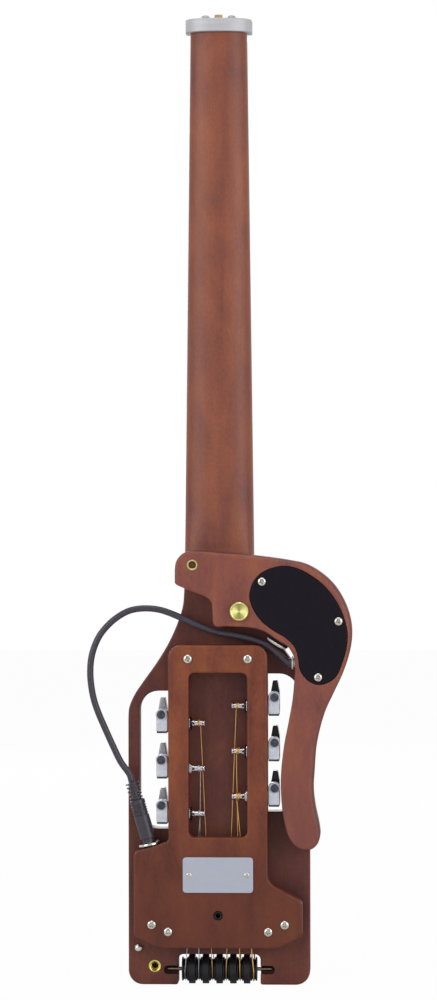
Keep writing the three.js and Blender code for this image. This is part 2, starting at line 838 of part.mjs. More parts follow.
// Tuners: a die-cast case with its bush through the wall, a post with its gear, a button with its worm
function tunerCase(side, z) {
  const outer = side * (case_inner_offset + case_width);
  const inner = side * case_inner_offset;
  const [x0, x1] = [Math.min(outer, inner), Math.max(outer, inner)];
  const y0 = block_middle - case_depth / 2;
  const y1 = block_middle + case_depth / 2;
  const z0 = z - case_below_post;
  const z1 = z + worm_centre_distance + case_above_worm;
  const bush_from = Math.min(side * bush_end_offset, inner + side * case_wall);
  const bush_to = Math.max(side * bush_end_offset, inner + side * case_wall);
  const side_wall = case_wall * 0.8;
  const inside = box(
    x0 + side_wall, x1 - side_wall, y0 + case_wall, y1 - case_wall, z0 + case_wall, z1 - case_wall,
  );
  const worm_centre = at(side * worm_offset, block_middle, z + worm_centre_distance);
  const worm_bore = rod(worm_centre, toward_back, -case_depth, case_depth, worm_shaft_radius + clearance);
  const post_axis = at(0, block_middle, z);
  const bore_from = bush_from - overrun;
  const post_bore = rod(post_axis, along_x, bore_from, bush_to + overrun, post_radius + clearance);
  return box(x0, x1, y0, y1, z0, z1)
    .subtract(inside)
    .subtract(worm_bore)
    .add(rod(post_axis, along_x, bush_from, bush_to, bush_radius))
    .subtract(post_bore);
}

function tunerPost(side, z) {
  const gear_in = worm_offset - gear_thickness / 2;
  const gear_out = worm_offset + gear_thickness / 2;
  const tip = post_tip_offset;
  const neck_out = bush_end_offset - clearance;
  const profile = [
    [post_end_offset, 0], [post_end_offset, post_radius], [gear_out, post_radius], [gear_out, gear_radius],
    [gear_in, gear_radius], [gear_in, post_radius], [neck_out, post_radius],
    [neck_out, post_flare_radius], [neck_out - post_flare_length, post_flare_radius],
    [neck_out - post_flare_length, post_radius], [tip + post_flare_length, post_radius],
    [tip + post_flare_length / 2, post_flare_radius], [tip, post_flare_radius], [tip, 0],
  ];
  const outward = at(side, 0, 0);
  return turned(profile.reverse(), at(0, block_middle, z), outward, small_sides);
}

function tunerButton(side, z) {
  const centre = at(side * worm_offset, block_middle, z + worm_centre_distance);
  const inside = case_depth / 2 - case_wall - clearance;
  const cap_from = case_depth / 2 + clearance;
  const button_top = slab_back + clearance - block_middle;
  const profile = [
    [-button_top - overrun, 0], [-button_top - overrun, worm_shaft_radius], [-inside, worm_shaft_radius],
    [-inside, worm_radius], [inside, worm_radius], [inside, worm_shaft_radius],
    [cap_from, worm_shaft_radius], [cap_from, worm_cap_radius],
    [cap_from + worm_cap_thickness, worm_cap_radius], [cap_from + worm_cap_thickness, 0],
  ];
  const [hub, tip] = [button_hub_thickness / 2, button_tip_thickness / 2];
  const end = button_reach - button_tip_radius;
  const half = [
    [hub, -hub], [hub, hub], [tip, end], [tip - button_tip_radius / 2, button_reach],
    [-tip + button_tip_radius / 2, button_reach], [-tip, end], [-hub, hub], [-hub, -hub],
  ];
  const paddle = [...half.slice(1, 7), ...half.slice(1, 7).map(([x, zz]) => [-x, -zz])];
  const placed = paddle.map(([x, zz]) => [centre.x + x, centre.z + zz]);
  const y0 = slab_back + clearance;
  return turned(profile, centre, toward_back, small_sides).add(plate(placed, y0, y0 + button_depth));
}

posts.forEach(({ n, side, z }) => {
  addPiece(`tuner_case_${n}`, tunerCase(side, z), die_cast);
  addPiece(`tuner_post_${n}`, tunerPost(side, z), plain_steel);
  addPiece(`tuner_button_${n}`, tunerButton(side, z), side < 0 ? die_cast : black_plastic);
});

// Tail rollers and spacers on one axle
const axle_origin = at(0, axle_y, axle_height);
addPiece(
  "tail_axle",
  rod(axle_origin, along_x, -axle_end_offset, axle_end_offset, axle_radius),
  plain_steel,
);
const half_roller = roller_width / 2;
for (let n = 1; n <= 6; n++) {
  const x = stringAcross(n, roller_pitch);
  const bore = axle_radius + clearance;
  const roller = turned(
    [
      [x - half_roller, bore], [x - half_roller, roller_radius], [x - roller_groove_width, roller_radius],
      [x - roller_groove_width / 2, roller_groove_radius],
      [x + roller_groove_width / 2, roller_groove_radius],
      [x + roller_groove_width, roller_radius],
      [x + half_roller, roller_radius], [x + half_roller, bore], [x - half_roller, bore],
    ],
    axle_origin, along_x,
  );
  addPiece(`roller_${n}`, roller, black_plastic);
}
for (let n = 1; n <= 5; n++) {
  const x = (n - 3) * roller_pitch;
  const half = spacer_width / 2;
  addPiece(
    `spacer_${n}`,
    ring(axle_origin, along_x, x - half, x + half, spacer_radius, axle_radius + clearance),
    black_plastic,
  );
}

// Each string: end cap, nut, saddle, round its roller, back up and round its post
function tangentAngle(from, centre, radius) {
  const dy = from[0] - centre[0];
  const dz = from[1] - centre[1];
  return Math.atan2(dz, dy) - Math.acos(radius / Math.hypot(dy, dz));
}

const string_gaps = [];
posts.forEach(({ n, side, z }) => {
  const radius = string_radii[n - 1];
  const nut_x = stringAcross(n, string_spacing_at_nut);
  const tail_x = stringAcross(n, roller_pitch);
  const nut_y = string_y_at_nut + radius;
  const saddle_y = saddle_front + clearance + radius;
  const wrap_radius = roller_groove_radius + clearance + radius;
  const post_wrap = post_radius + clearance + radius;
  const points = [
    at(nut_x, nut_y, overall_length - cap_thickness / 2),
    at(nut_x, nut_y, nut_line + nut_thickness),
    at(nut_x, nut_y, nut_line),
    at(tail_x, saddle_y, saddle_high),
    at(tail_x, saddle_y, saddle_low),
  ];
  const front_angle = tangentAngle([saddle_y, saddle_low], [axle_y, axle_height], wrap_radius);
  const post_x = side * string_wrap_offset;
  const low_angle = Math.atan2(z - axle_height, block_middle - axle_y);
  const reach = Math.hypot(z - axle_height, block_middle - axle_y);
  const back_angle = low_angle + Math.acos((wrap_radius + post_wrap) / reach);
  for (let i = 0; i <= roller_arc_steps; i++) {
    const angle = front_angle + ((back_angle - 2 * Math.PI - front_angle) * i) / roller_arc_steps;
    const y = axle_y + wrap_radius * Math.cos(angle);
    points.push(at(tail_x, y, axle_height + wrap_radius * Math.sin(angle)));
  }
  const pitch = 2 * radius + string_turn_gap;
  const start_angle = back_angle + Math.PI;
  const steps = Math.round(string_turns * steps_per_turn);
  for (let i = 0; i <= steps; i++) {
    const turns = i / steps_per_turn;
    const angle = start_angle + turns * 2 * Math.PI;
    const x = post_x + side * turns * pitch;
    const y = block_middle + post_wrap * Math.cos(angle);
    points.push(at(x, y, z + post_wrap * Math.sin(angle)));
  }
  string_gaps.push(pitch - 2 * radius);
  const wound = n >= 3;
  addPiece(`string_${n}`, tube(points, radius, string_sides), wound ? wound_bronze : plain_steel);
});
console.log("least gap of a string's turns", Math.min(...string_gaps).toFixed(2));

// Lap rest: one curved piece of wood, wide at the top, with an arm down to its foot
const rest_shares = [
  [0.063, 0.993], [0.011, 0.965], [0, 0.932], [0, 0.89], [0.054, 0.871], [0.184, 0.838], [0.207, 0.822],
  [0.212, 0.79], [0.225, 0.746], [0.3, 0.744], [0.436, 0.739], [0.502, 0.728], [0.579, 0.698],
  [0.639, 0.675], [0.66, 0.657], [0.673, 0.639], [0.677, 0.614], [0.665, 0.508], [0.641, 0.426],
  [0.614, 0.343], [0.597, 0.245], [0.6, 0.163], [0.614, 0.097], [0.637, 0.047], [0.67, 0.017],
  [0.716, 0], [0.762, 0], [0.8, 0.017], [0.818, 0.047], [0.814, 0.081], [0.791, 0.147], [0.781, 0.202],
  [0.786, 0.261], [0.8, 0.354], [0.846, 0.459], [0.893, 0.52], [0.949, 0.591], [0.99, 0.668],
  [1, 0.729], [0.986, 0.784], [0.949, 0.839], [0.893, 0.888], [0.818, 0.927], [0.734, 0.954],
  [0.623, 0.968], [0.446, 0.982], [0.297, 0.99],
];
const rest_outline = place(rest_shares, rest_left, rest_width, rest_bottom, rest_height);
const cover_shares = [
  [0.33, 1], [0.144, 0.953], [0.042, 0.869], [0, 0.743], [0.042, 0.632], [0.127, 0.534], [0.246, 0.457],
  [0.381, 0.388], [0.466, 0.311], [0.5, 0.214], [0.516, 0.13], [0.567, 0.06], [0.635, 0.016],
  [0.719, 0], [0.804, 0.019], [0.889, 0.075], [0.948, 0.187], [0.991, 0.312], [1, 0.438],
  [0.965, 0.564], [0.889, 0.702], [0.77, 0.829], [0.635, 0.918], [0.483, 0.982],
];
const cover_outline = smooth(
  place(cover_shares, cover_left, cover_width, cover_bottom, cover_height),
  36,
  true,
);
function shrink(outline, amount) {
  return outline.map(([x, z], i) => {
    const [px, pz] = outline[(i + outline.length - 1) % outline.length];
    const [nx, nz] = outline[(i + 1) % outline.length];
    const run = Math.hypot(nx - px, nz - pz);
    return [x - ((nz - pz) / run) * amount, z + ((nx - px) / run) * amount];
  });
}
const knob_angle = THREE.MathUtils.degToRad(knob_lean);
const knob_axis = at(-Math.sin(knob_angle), 0, -Math.cos(knob_angle));
const knob_origin = at(knob_x, block_middle, knob_z);
const gland_origin = at(gland_x, block_middle, gland_z);
const toward_left = at(-1, 0, 0);
const cover_recess = rest_back + cover_thickness + clearance;
const lap_rest = subtractAll(plate(rest_outline, rest_back, block_floor, rest_edge_radius), [
  plate(shrink(cover_outline, -clearance), rest_back - overrun, cover_recess),
  plate(shrink(cover_outline, cover_ledge), rest_back - overrun, rest_back + cavity_depth),
  rod(at(thumbscrew_offset, rest_back, thumbscrew_z), toward_back, -rest_thickness - overrun, overrun,
    thumbscrew_shank_radius + clearance),
  rod(at(ferrule_offset, rest_back, ferrule_z), toward_back, -rest_thickness - overrun, overrun,
    ferrule_radius + clearance),
  rod(knob_origin, knob_axis, -knob_shaft_length - overrun, knob_skirt, knob_shaft_radius + clearance),
  rod(knob_origin, knob_axis, 0, knob_skirt, knob_radius + clearance, round_sides),
  rod(gland_origin, toward_left, -gland_stub_length - overrun, overrun, gland_stub_radius + clearance),
  rod(gland_origin, toward_left, 0, gland_stub_length, gland_flange_radius + clearance),
]);
addPiece("lap_rest", lap_rest, mahogany);
addPiece("control_cover", plate(cover_outline, rest_back, rest_back + cover_thickness), black_plastic);

addPiece(
  "thumbscrew",
  turned(
    [
      [-rest_thickness - thumbscrew_reach, 0],
      [-rest_thickness - thumbscrew_reach, thumbscrew_shank_radius],
      [clearance, thumbscrew_shank_radius], [clearance, thumbscrew_radius],
      [thumbscrew_rise - overrun, thumbscrew_radius], [thumbscrew_rise, thumbscrew_radius - overrun],
      [thumbscrew_rise, 0],
    ],
    at(thumbscrew_offset, rest_back, thumbscrew_z), toward_back,
  ),
  brass,
);
const ferrule_origin = at(ferrule_offset, rest_back, ferrule_z);
addPiece(
  "ferrule",
  ring(ferrule_origin, toward_back, -rest_thickness, clearance / 2, ferrule_radius, ferrule_bore_radius),
  brass,
);
addPiece(
  "locating_pin",
  rod(ferrule_origin, toward_back, -rest_thickness - clearance - pin_reach, -pin_recess, pin_radius),
  dark_wood,
);
addPiece(
  "volume_knob",
  turned(
    [
      [-knob_shaft_length, 0], [-knob_shaft_length, knob_shaft_radius], [clearance, knob_shaft_radius],
      [clearance, knob_radius], [knob_skirt, knob_radius],
      [knob_skirt + knob_dome * 0.6, knob_radius * 0.7],
      [knob_skirt + knob_dome, 0],
    ],
    knob_origin, knob_axis,
  ),
  black_plastic,
);
addPiece(
  "preamp_board",
  box(
    board_x - board_width / 2, board_x + board_width / 2,
    rest_back + cavity_depth - clearance - board_thickness, rest_back + cavity_depth - clearance,
    board_z - board_length / 2, board_z + board_length / 2,
  ),
  green_board,
);
addPiece(
  "cord_gland",
  turned(
    [
      [-gland_stub_length, 0], [-gland_stub_length, gland_stub_radius], [clearance, gland_stub_radius],
      [clearance, gland_flange_radius], [gland_flange_thickness, gland_flange_radius],
      [gland_flange_thickness, 0],
    ],
    gland_origin, toward_left, small_sides,
  ),
  nickel,
);

// Jack on the sloped shoulder, the plug in it, and the cord between plug and gland
addPiece(
  "output_jack",
  turned(
    [
      [-jack_barrel_length, 0], [-jack_barrel_length, jack_barrel_radius], [clearance, jack_barrel_radius],
      [clearance, jack_flange_radius], [clearance + jack_flange_thickness, jack_flange_radius],
      [clearance + jack_flange_thickness, jack_bore_radius], [-plug_tip_length, jack_bore_radius],
      [-plug_tip_length, 0],
    ],
    jack_face, jack_axis,
  ),
  nickel,
);
const plug_seat = clearance + jack_flange_thickness + clearance;
const barrel_from = plug_seat + plug_neck_length;
const boot_from = barrel_from + plug_barrel_length;
const boot_to = boot_from + boot_length;
const rib_step = boot_length / (boot_rib_count + 0.5);
const ribs = Array.from({ length: boot_rib_count }, (_, i) => {
  const start = boot_from + (i + 0.4) * rib_step;
  return [
    [start, boot_core_radius], [start, boot_rib_radius],
    [start + rib_step * 0.5, boot_rib_radius], [start + rib_step * 0.5, boot_core_radius],
  ];
}).flat();
addPiece(
  "cord_plug",
  turned(
    [
      [plug_seat - plug_tip_length, 0], [plug_seat - plug_tip_length, plug_tip_radius],
      [plug_seat, plug_tip_radius], [plug_seat, plug_neck_radius], [barrel_from, plug_neck_radius],
      [barrel_from, plug_barrel_radius], [boot_from, plug_barrel_radius], [boot_from, boot_core_radius],
      ...ribs, [boot_to, boot_core_radius], [boot_to, 0],
    ],
    jack_face, jack_axis, small_sides,
  ),
  rubber,
);
const cord_start = gland_origin.clone().addScaledVector(toward_left, gland_flange_thickness + clearance);
const cord_end = jack_face.clone().addScaledVector(jack_axis, boot_to + clearance);
// Heights above the gland are shares of the loop's rise, those below it shares of the drop to the plug.
const cord_route_shares = [
  [0.926, 0.148], [0.863, 0.327], [0.796, 0.427], [0.714, 0.503], [0.633, 0.553], [0.551, 0.651],
  [0.471, 0.786], [0.391, 0.915], [0.334, 0.98], [0.262, 1], [0.197, 0.962], [0.142, 0.859],
  [0.091, 0.704], [0.048, 0.508], [0.021, 0.299], [0.005, 0.078], [0, -0.078], [0.005, -0.198],
  [0.019, -0.32], [0.042, -0.434], [0.074, -0.561], [0.112, -0.706], [0.149, -0.836],
];
const cord_drop = gland_z - cord_end.z;
const cord_route = cord_route_shares.map(([across, up]) =>
  at(
    loop_left + across * (gland_x - loop_left),
    block_middle,
    gland_z + up * (up > 0 ? loop_rise : cord_drop),
  ),
);
const cord_curve = new THREE.CatmullRomCurve3(
  [
    cord_start,
    cord_start.clone().addScaledVector(toward_left, cord_radius),
    ...cord_route,
    cord_end.clone().addScaledVector(jack_axis, cord_radius * 2),
    cord_end,
  ],
  false,
  "centripetal",
);
const cord_section = new THREE.Shape(arc(0, 0, cord_radius, 0, 360, cord_sides).slice(0, -1)
  .map(([x, y]) => new THREE.Vector2(x, y)));
const cord = new THREE.ExtrudeGeometry(cord_section, { steps: cord_steps, extrudePath: cord_curve });
addPiece("cord", solidOf(cord), rubber);
console.log("cord length", cord_curve.getLength().toFixed(1));

// Brass insert and dome stud near the tail
addPiece(
  "brass_insert",
  turned(
    [
      [-insert_depth, insert_bore_radius], [-insert_depth, insert_radius], [insert_rise, insert_radius],
      [insert_rise, insert_radius - clearance], [-insert_rise * 2, insert_bore_radius],
      [-insert_depth, insert_bore_radius],
    ],
    at(insert_offset, slab_back, insert_height_on_slab), toward_back,
  ),
  brass,
);
addPiece(
  "dome_stud",
  turned(
    [
      [-stud_shank_length, 0], [-stud_shank_length, stud_shank_radius], [clearance, stud_shank_radius],
      [clearance, stud_radius], [stud_rise / 3, stud_radius], [stud_rise * 0.75, stud_radius * 0.7],
      [stud_rise, 0],
    ],
    at(stud_offset, slab_back, stud_height_on_slab), toward_back,
  ),
  nickel,
);

export default root;
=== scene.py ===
# Looks for the travel guitar: a neck-through body seen from the back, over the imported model.
# Sizes are in millimetres in the part's own frame, and become metres when a mesh is made.

import math
from functools import partialmethod

import bmesh
import bpy
import numpy as np
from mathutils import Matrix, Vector
from mathutils.geometry import tessellate_polygon


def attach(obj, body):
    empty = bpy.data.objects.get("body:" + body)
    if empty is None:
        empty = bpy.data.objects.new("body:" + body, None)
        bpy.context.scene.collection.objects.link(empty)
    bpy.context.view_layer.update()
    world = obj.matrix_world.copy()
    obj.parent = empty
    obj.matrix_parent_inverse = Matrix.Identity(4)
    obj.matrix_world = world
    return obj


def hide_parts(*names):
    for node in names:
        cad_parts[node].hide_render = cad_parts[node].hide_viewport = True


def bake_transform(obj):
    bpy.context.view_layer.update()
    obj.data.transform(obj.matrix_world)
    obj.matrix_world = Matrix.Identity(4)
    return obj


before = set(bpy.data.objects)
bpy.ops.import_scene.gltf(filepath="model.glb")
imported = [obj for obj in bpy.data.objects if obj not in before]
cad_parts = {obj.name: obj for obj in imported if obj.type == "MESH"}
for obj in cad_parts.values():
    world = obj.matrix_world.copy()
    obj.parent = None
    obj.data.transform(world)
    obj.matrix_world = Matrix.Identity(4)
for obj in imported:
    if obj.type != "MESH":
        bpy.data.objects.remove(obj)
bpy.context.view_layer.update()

scene = bpy.context.scene


# Studio: a camera level with the middle of the guitar and a little to its right, two large soft
# lights beside it, one overhead and one on its front side, and a pale floor that runs into a white
# background.
metre = 0.001
camera_place = Vector((120, -2700, 356.3)) * metre
camera_target = Vector((0, -9.5, 356.3)) * metre
camera_roll = math.radians(-0.1)
lens = 131.9
film_width = 36
view_reach = 50000
light_target = Vector((0, 0, 380)) * metre
lights = [
    # name, place, size, power
    ("light_left", (-1500, -1500, 900), 1300, 15),
    ("light_right", (1500, -1400, 800), 1300, 14),
    ("light_top", (0, -500, 1900), 1100, 6.5),
    ("light_front", (-500, 2300, 1100), 1300, 14),
]
ambient = 0.34
room_glow = 0.48
room_edge = 0.35
floor_half = 6000
floor_drop = 0.5
floor_glow_share = 0.97


def linear(code):
    """The linear colour of a six-digit sRGB code, by the sRGB curve."""
    shares = np.array([int(code[i : i + 2], 16) / 255 for i in (0, 2, 4)])
    curve = np.where(shares <= 0.04045, shares / 12.92, ((shares + 0.055) / 1.055) ** 2.4)
    return (*curve.tolist(), 1.0)


class Term:
    """A node's output in a formula. Its operators add the Math nodes that the formula needs."""

    def __init__(self, formulas, socket):
        self.formulas = formulas
        self.socket = socket

    def math(self, operation, other):
        return self.formulas.node("Math", {0: self, 1: other}, operation=operation)

    def __rsub__(self, other):
        return self.formulas.node("Math", {0: other, 1: self}, operation="SUBTRACT")

    __add__ = partialmethod(math, "ADD")
    __sub__ = partialmethod(math, "SUBTRACT")
    __mul__ = partialmethod(math, "MULTIPLY")
    __truediv__ = partialmethod(math, "DIVIDE")
    sine = partialmethod(math, "SINE", 0)


class Formulas:
    """A node tree that is written as formulas."""

    def __init__(self, tree):
        self.tree = tree

    def node(self, kind, values=(), output=0, **settings):
        """An output of a new node with these values or terms in its sockets and these settings."""
        made = self.tree.nodes.new("ShaderNode" + kind)
        for key, value in settings.items():
            setattr(made, key, value)
        for key, value in dict(values).items():
            self.feed(made.inputs[key], value)
        return Term(self, made.outputs[output])

    def feed(self, socket, value):
        if isinstance(value, Term):
            self.tree.links.new(value.socket, socket)
        else:
            socket.default_value = value

    def ray(self, kind):
        """1 for rays of a kind, and 0 for all others."""
        return self.node("LightPath", output=f"Is {kind} Ray")

    def part(self, spot, side):
        """The X, Y or Z of a spot."""
        return self.node("SeparateXYZ", {0: spot}, side)

    def carry(self, value, low, high, start, end, step="LINEAR"):
        """value taken from low..high to start..end, and held outside of them."""
        values = {"Value": value, "From Min": low, "From Max": high, "To Min": start, "To Max": end}
        return self.node("MapRange", values, interpolation_type=step)


class Finish(Formulas):
    """A material that is written as formulas. set() fills sockets of its Principled shader."""

    def __init__(self, name):
        self.material = bpy.data.materials.new(name)
        self.material.use_nodes = True
        super().__init__(self.material.node_tree)
        self.shader = self.tree.nodes["Principled BSDF"]
        self.spot = None

    def set(self, **values):
        for key, value in values.items():
            self.feed(self.shader.inputs[key.replace("_", " ")], value)

    def coordinates(self):
        """Object coordinates in metres."""
        return self.node("TexCoord", output="Object")

    def noise(self, stretch, detail=3.0, roughness=0.55, distortion=0.0):
        """Noise of mean 0.5 over Object coordinates times a stretch, one or one for each axis."""
        factors = np.broadcast_to(stretch, 3).tolist()
        spot = {0: self.spot or self.coordinates(), 1: factors}
        return self.node("TexNoise", {
            "Vector": self.node("VectorMath", spot, operation="MULTIPLY"), "Scale": 1.0,
            "Detail": detail, "Roughness": roughness, "Distortion": distortion,
        })

    def limit(self, value, low, high):
        """value taken from low..high to 0..1 along a smooth step."""
        return self.carry(value, low, high, 0, 1, "SMOOTHSTEP")

    def mix(self, share, first, second):
        """The colour that lies share of the way from first to second."""
        return self.node("Mix", {0: share, 6: first, 7: second}, 2, data_type="RGBA")

    def bump(self, height, relief):
        return self.node("Bump", {"Height": height, "Distance": relief * metre, "Strength": 1.0})


def linked(name, data):
    """An object of the scene."""
    made = bpy.data.objects.new(name, data)
    scene.collection.objects.link(made)
    return made


def aimed(name, data, place, target):
    """A camera or a light that looks from a place to a target."""
    made = linked(name, data)
    made.location = place
    made.rotation_euler = (target - place).to_track_quat("-Z", "Y").to_euler()
    return made


eye = aimed("camera", bpy.data.cameras.new("camera"), camera_place, camera_target)
eye.rotation_euler.rotate_axis("Z", camera_roll)
eye.data.lens = lens
eye.data.sensor_width = film_width
eye.data.clip_end = view_reach * metre
scene.camera = eye
scene.view_settings.view_transform = "Standard"

for name, spot, size, power in lights:
    lamp = bpy.data.lights.new(name, "AREA")
    lamp.size = size * metre
    lamp.energy = power
    aimed(name, lamp, Vector(spot) * metre, light_target)

# The background is white to the camera. Gloss sees it too, and a dimmer room where the camera
# stands, and everything else is lit by a soft grey.
world = bpy.data.worlds.new("studio")
scene.world = world
world.use_nodes = True
sky = Formulas(world.node_tree)
direction = sky.node("TexCoord", output="Generated")
room = sky.carry(sky.part(direction, "Y"), -room_edge, room_edge, room_glow, 1)
gloss = sky.carry(sky.ray("Glossy"), 0, 1, ambient, room)
background = sky.tree.nodes["Background"].inputs
sky.feed(background["Color"], (1, 1, 1, 1))
sky.feed(background["Strength"], sky.carry(sky.ray("Camera"), 0, 1, gloss, 1))

floor_finish = Finish("floor_paint")
floor_finish.set(Base_Color=linear("f2f2f2"), Roughness=0.9, Specular_IOR_Level=0.0)
floor_paint = Term(floor_finish, floor_finish.shader.outputs[0])
floor_glow = floor_finish.node("Emission", {"Color": (1, 1, 1, 1), "Strength": 1.0})
glow_share = floor_finish.ray("Camera") * floor_glow_share
floor_finish.feed(
    floor_finish.tree.nodes["Material Output"].inputs["Surface"],
    floor_finish.node("MixShader", {0: glow_share, 1: floor_paint, 2: floor_glow}),
)
floor_mesh = bpy.data.meshes.new("floor")
floor_corners = np.array([(-1, -1), (1, -1), (1, 1), (-1, 1)]) * floor_half
floor_places = np.column_stack([floor_corners, [-floor_drop] * 4]) * metre
floor_mesh.from_pydata(floor_places.tolist(), [], [(0, 1, 2, 3)])
floor_mesh.materials.append(floor_finish.material)
floor = linked("floor", floor_mesh)


# Cord: 4.8 mm black rubber lead that leaves the gland in the lap rest, loops left over the
# housing's top and ends in the plug. It is made in two runs.
rightward = (1, 0, 0)
leftward = (-1, 0, 0)
toward_front = (0, 1, 0)
toward_back = (0, -1, 0)
upward = (0, 0, 1)
clearance = 0.3
cord_radius = 2.4
cord_tuck = 1.4
cord_rows = 241
block_floor = -9.8
block_back = -29.5
block_middle = (block_floor + block_back) / 2
gland = np.array([55.4, block_middle, 237.2])
jack = np.array([-50, block_middle, 102.6])
jack_lean = math.radians(16)
jack_axis = np.array([-math.sin(jack_lean), 0, math.cos(jack_lean)])
boot_end = 49.3
loop_left = -93.9
loop_rise = 39.8
cord_route_shares = [
    (0.926, 0.148), (0.863, 0.327), (0.796, 0.427), (0.714, 0.503), (0.633, 0.553),
    (0.551, 0.651), (0.471, 0.786), (0.391, 0.915), (0.334, 0.98), (0.262, 1), (0.197, 0.962),
    (0.142, 0.859), (0.091, 0.704), (0.048, 0.508), (0.021, 0.299), (0.005, 0.078), (0, -0.078),
    (0.005, -0.198), (0.019, -0.32), (0.042, -0.434), (0.074, -0.561), (0.112, -0.706),
    (0.149, -0.836),
]


def smooth(points, steps, closed=False):
    """A centripetal Catmull-Rom curve: each span is a cubic whose end slopes come from the
    differences of its neighbours, over knots that grow with the root of the distance."""
    p = np.asarray(points, float)
    ends = (p[-1:], p[:2]) if closed else (2 * p[:1] - p[1:2], 2 * p[-1:] - p[-2:-1])
    p = np.vstack([ends[0], p, ends[1]])
    gap = np.sqrt(np.linalg.norm(np.diff(p, axis=0), axis=1))[:, None]
    before, here, after = gap[:-2], gap[1:-1], gap[2:]
    a, b, c, d = p[:-3], p[1:-2], p[2:-1], p[3:]
    slope_b = here * ((b - a) / before - (c - a) / (before + here) + (c - b) / here)
    slope_c = here * ((c - b) / here - (d - b) / (here + after) + (d - c) / after)
    t = np.linspace(0, 1, steps, endpoint=False)[None, :, None]
    b, c, slope_b, slope_c = (q[:, None, :] for q in (b, c, slope_b, slope_c))
    curve = (
        (2 * t**3 - 3 * t**2 + 1) * b + (t**3 - 2 * t**2 + t) * slope_b
        + (3 * t**2 - 2 * t**3) * c + (t**3 - t**2) * slope_c
    ).reshape(-1, p.shape[1])
    return curve if closed else np.vstack([curve, p[-2]])


def spaced(points, count, closed=False):
    """count points at equal steps along a run of straight lines."""
    p = np.vstack([points, points[:1]]) if closed else np.asarray(points, float)
    reach = np.concatenate([[0], np.cumsum(np.linalg.norm(np.diff(p, axis=0), axis=1))])
    along = np.linspace(0, reach[-1], count, endpoint=not closed)
    return np.stack([np.interp(along, reach, p[:, k]) for k in range(p.shape[1])], 1)


def quads(rows, columns):
    """Faces of a grid whose columns meet again: corners (i, j), (i + 1, j), (i + 1, j + 1) and
    (i, j + 1), row by row."""
    i = np.arange(rows - 1)[:, None] * columns
    j = np.arange(columns)[None, :]
    right = (j + 1) % columns
    corners = [i + j, i + columns + j, i + columns + right, i + right]
    return np.stack(corners, -1).reshape(-1, 4)


def unit(vectors):
    """Vectors at a length of 1, or near 0 where they have none."""
    return vectors / np.maximum(np.linalg.norm(vectors, axis=-1, keepdims=True), 1e-9)


def tube(route, radius, sides, reference):
    """A round skin along a route: point (i, k) = route i + radius i (side cos k + up sin k),
    where side is across the route and the reference. Its ends close on the route's own points."""
    route = np.asarray(route, float)
    ahead = unit(np.gradient(route, axis=0))
    side = unit(np.cross(ahead, reference))
    up = np.cross(side, ahead)
    rows = np.concatenate([[0], np.arange(len(route)), [len(route) - 1]])
    wide = np.broadcast_to(radius, len(route))[rows].copy()
    wide[[0, -1]] = 0
    turn = np.linspace(0, 2 * np.pi, sides, endpoint=False)[None, :, None]
    around = side[rows, None] * np.cos(turn) + up[rows, None] * np.sin(turn)
    points = route[rows, None] + wide[:, None, None] * around
    return points.reshape(-1, 3), [quads(len(rows), sides)]


def surface(name, dark, light, roughness, stretch, relief, metallic=0.0, gloss=0.5):
    """One noise over the piece sets tone, gloss and a fine relief: drawn out it reads as brushing,
    even it reads as the grain of a moulding or a casting."""
    made = Finish(name)
    grain = made.noise(stretch, 4, 0.6)
    made.set(
        Base_Color=made.mix(made.limit(grain, 0.3, 0.7), linear(dark), linear(light)),
        Roughness=grain * 0.16 + (roughness - 0.08),
        Metallic=metallic,
        Normal=made.bump(grain, relief),
        Specular_IOR_Level=gloss,
    )
    return made


def shade(mesh, sharp=32):
    """Smooth shading, apart from edges sharper than the angle and faces that lie flat across Y."""
    mesh.shade_smooth()
    mesh.set_sharp_from_angle(angle=math.radians(sharp))
    normals = np.empty(3 * len(mesh.polygons))
    mesh.polygons.foreach_get("normal", normals)
    mesh.polygons.foreach_set("use_smooth", np.abs(normals[1::3]) < 0.99999)


def piece(name, shells, finish, slot, replaces=(), body="guitar", sharp=32):
    """One object from closed shells, each of points in millimetres and arrays of faces. Doubles
    are merged, faces turned outwards, and edges sharper than the angle stay sharp."""
    faces = []
    start = 0
    for points, groups in shells:
        for group in groups:
            faces += (np.asarray(group) + start).tolist()
        start += len(points)
    mesh = bpy.data.meshes.new(name)
    mesh.from_pydata((np.vstack([s[0] for s in shells]) * metre).tolist(), [], faces)
    work = bmesh.new()
    work.from_mesh(mesh)
    bmesh.ops.remove_doubles(work, verts=work.verts, dist=2e-7)
    bmesh.ops.recalc_face_normals(work, faces=work.faces)
    work.to_mesh(mesh)
    work.free()
    mesh.materials.append(finish.material)
    shade(mesh, sharp)
    made = linked(name, mesh)
    if body:
        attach(made, body)
    if replaces:
        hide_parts(*replaces)
    return made


rubber = surface("cord_rubber", "37323c", "443e4a", 0.36, 900, 0.02)
cord_start = gland - (cord_tuck, 0, 0)
cord_end = jack + jack_axis * (boot_end + clearance)
cord_points = [
    (loop_left + across * (gland[0] - loop_left), block_middle,
     gland[2] + up * (loop_rise if up > 0 else gland[2] - cord_end[2]))
    for across, up in cord_route_shares
]
cord_route = [
    cord_start, cord_start - (cord_radius, 0, 0), *cord_points,
    cord_end + jack_axis * cord_radius * 2, cord_end,
]
cord_centre = spaced(smooth(cord_route, 16), cord_rows)
cord_middle = cord_rows // 2
cord_runs = {"cord_upper": cord_centre[: cord_middle + 1], "cord_lower": cord_centre[cord_middle:]}
cord_upper, cord_lower = (
    piece(name, [tube(run, cord_radius, 20, toward_front)], rubber, "cord_rubber", body=None)
    for name, run in cord_runs.items()
)
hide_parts("cord")
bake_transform(cord_upper)
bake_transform(cord_lower)


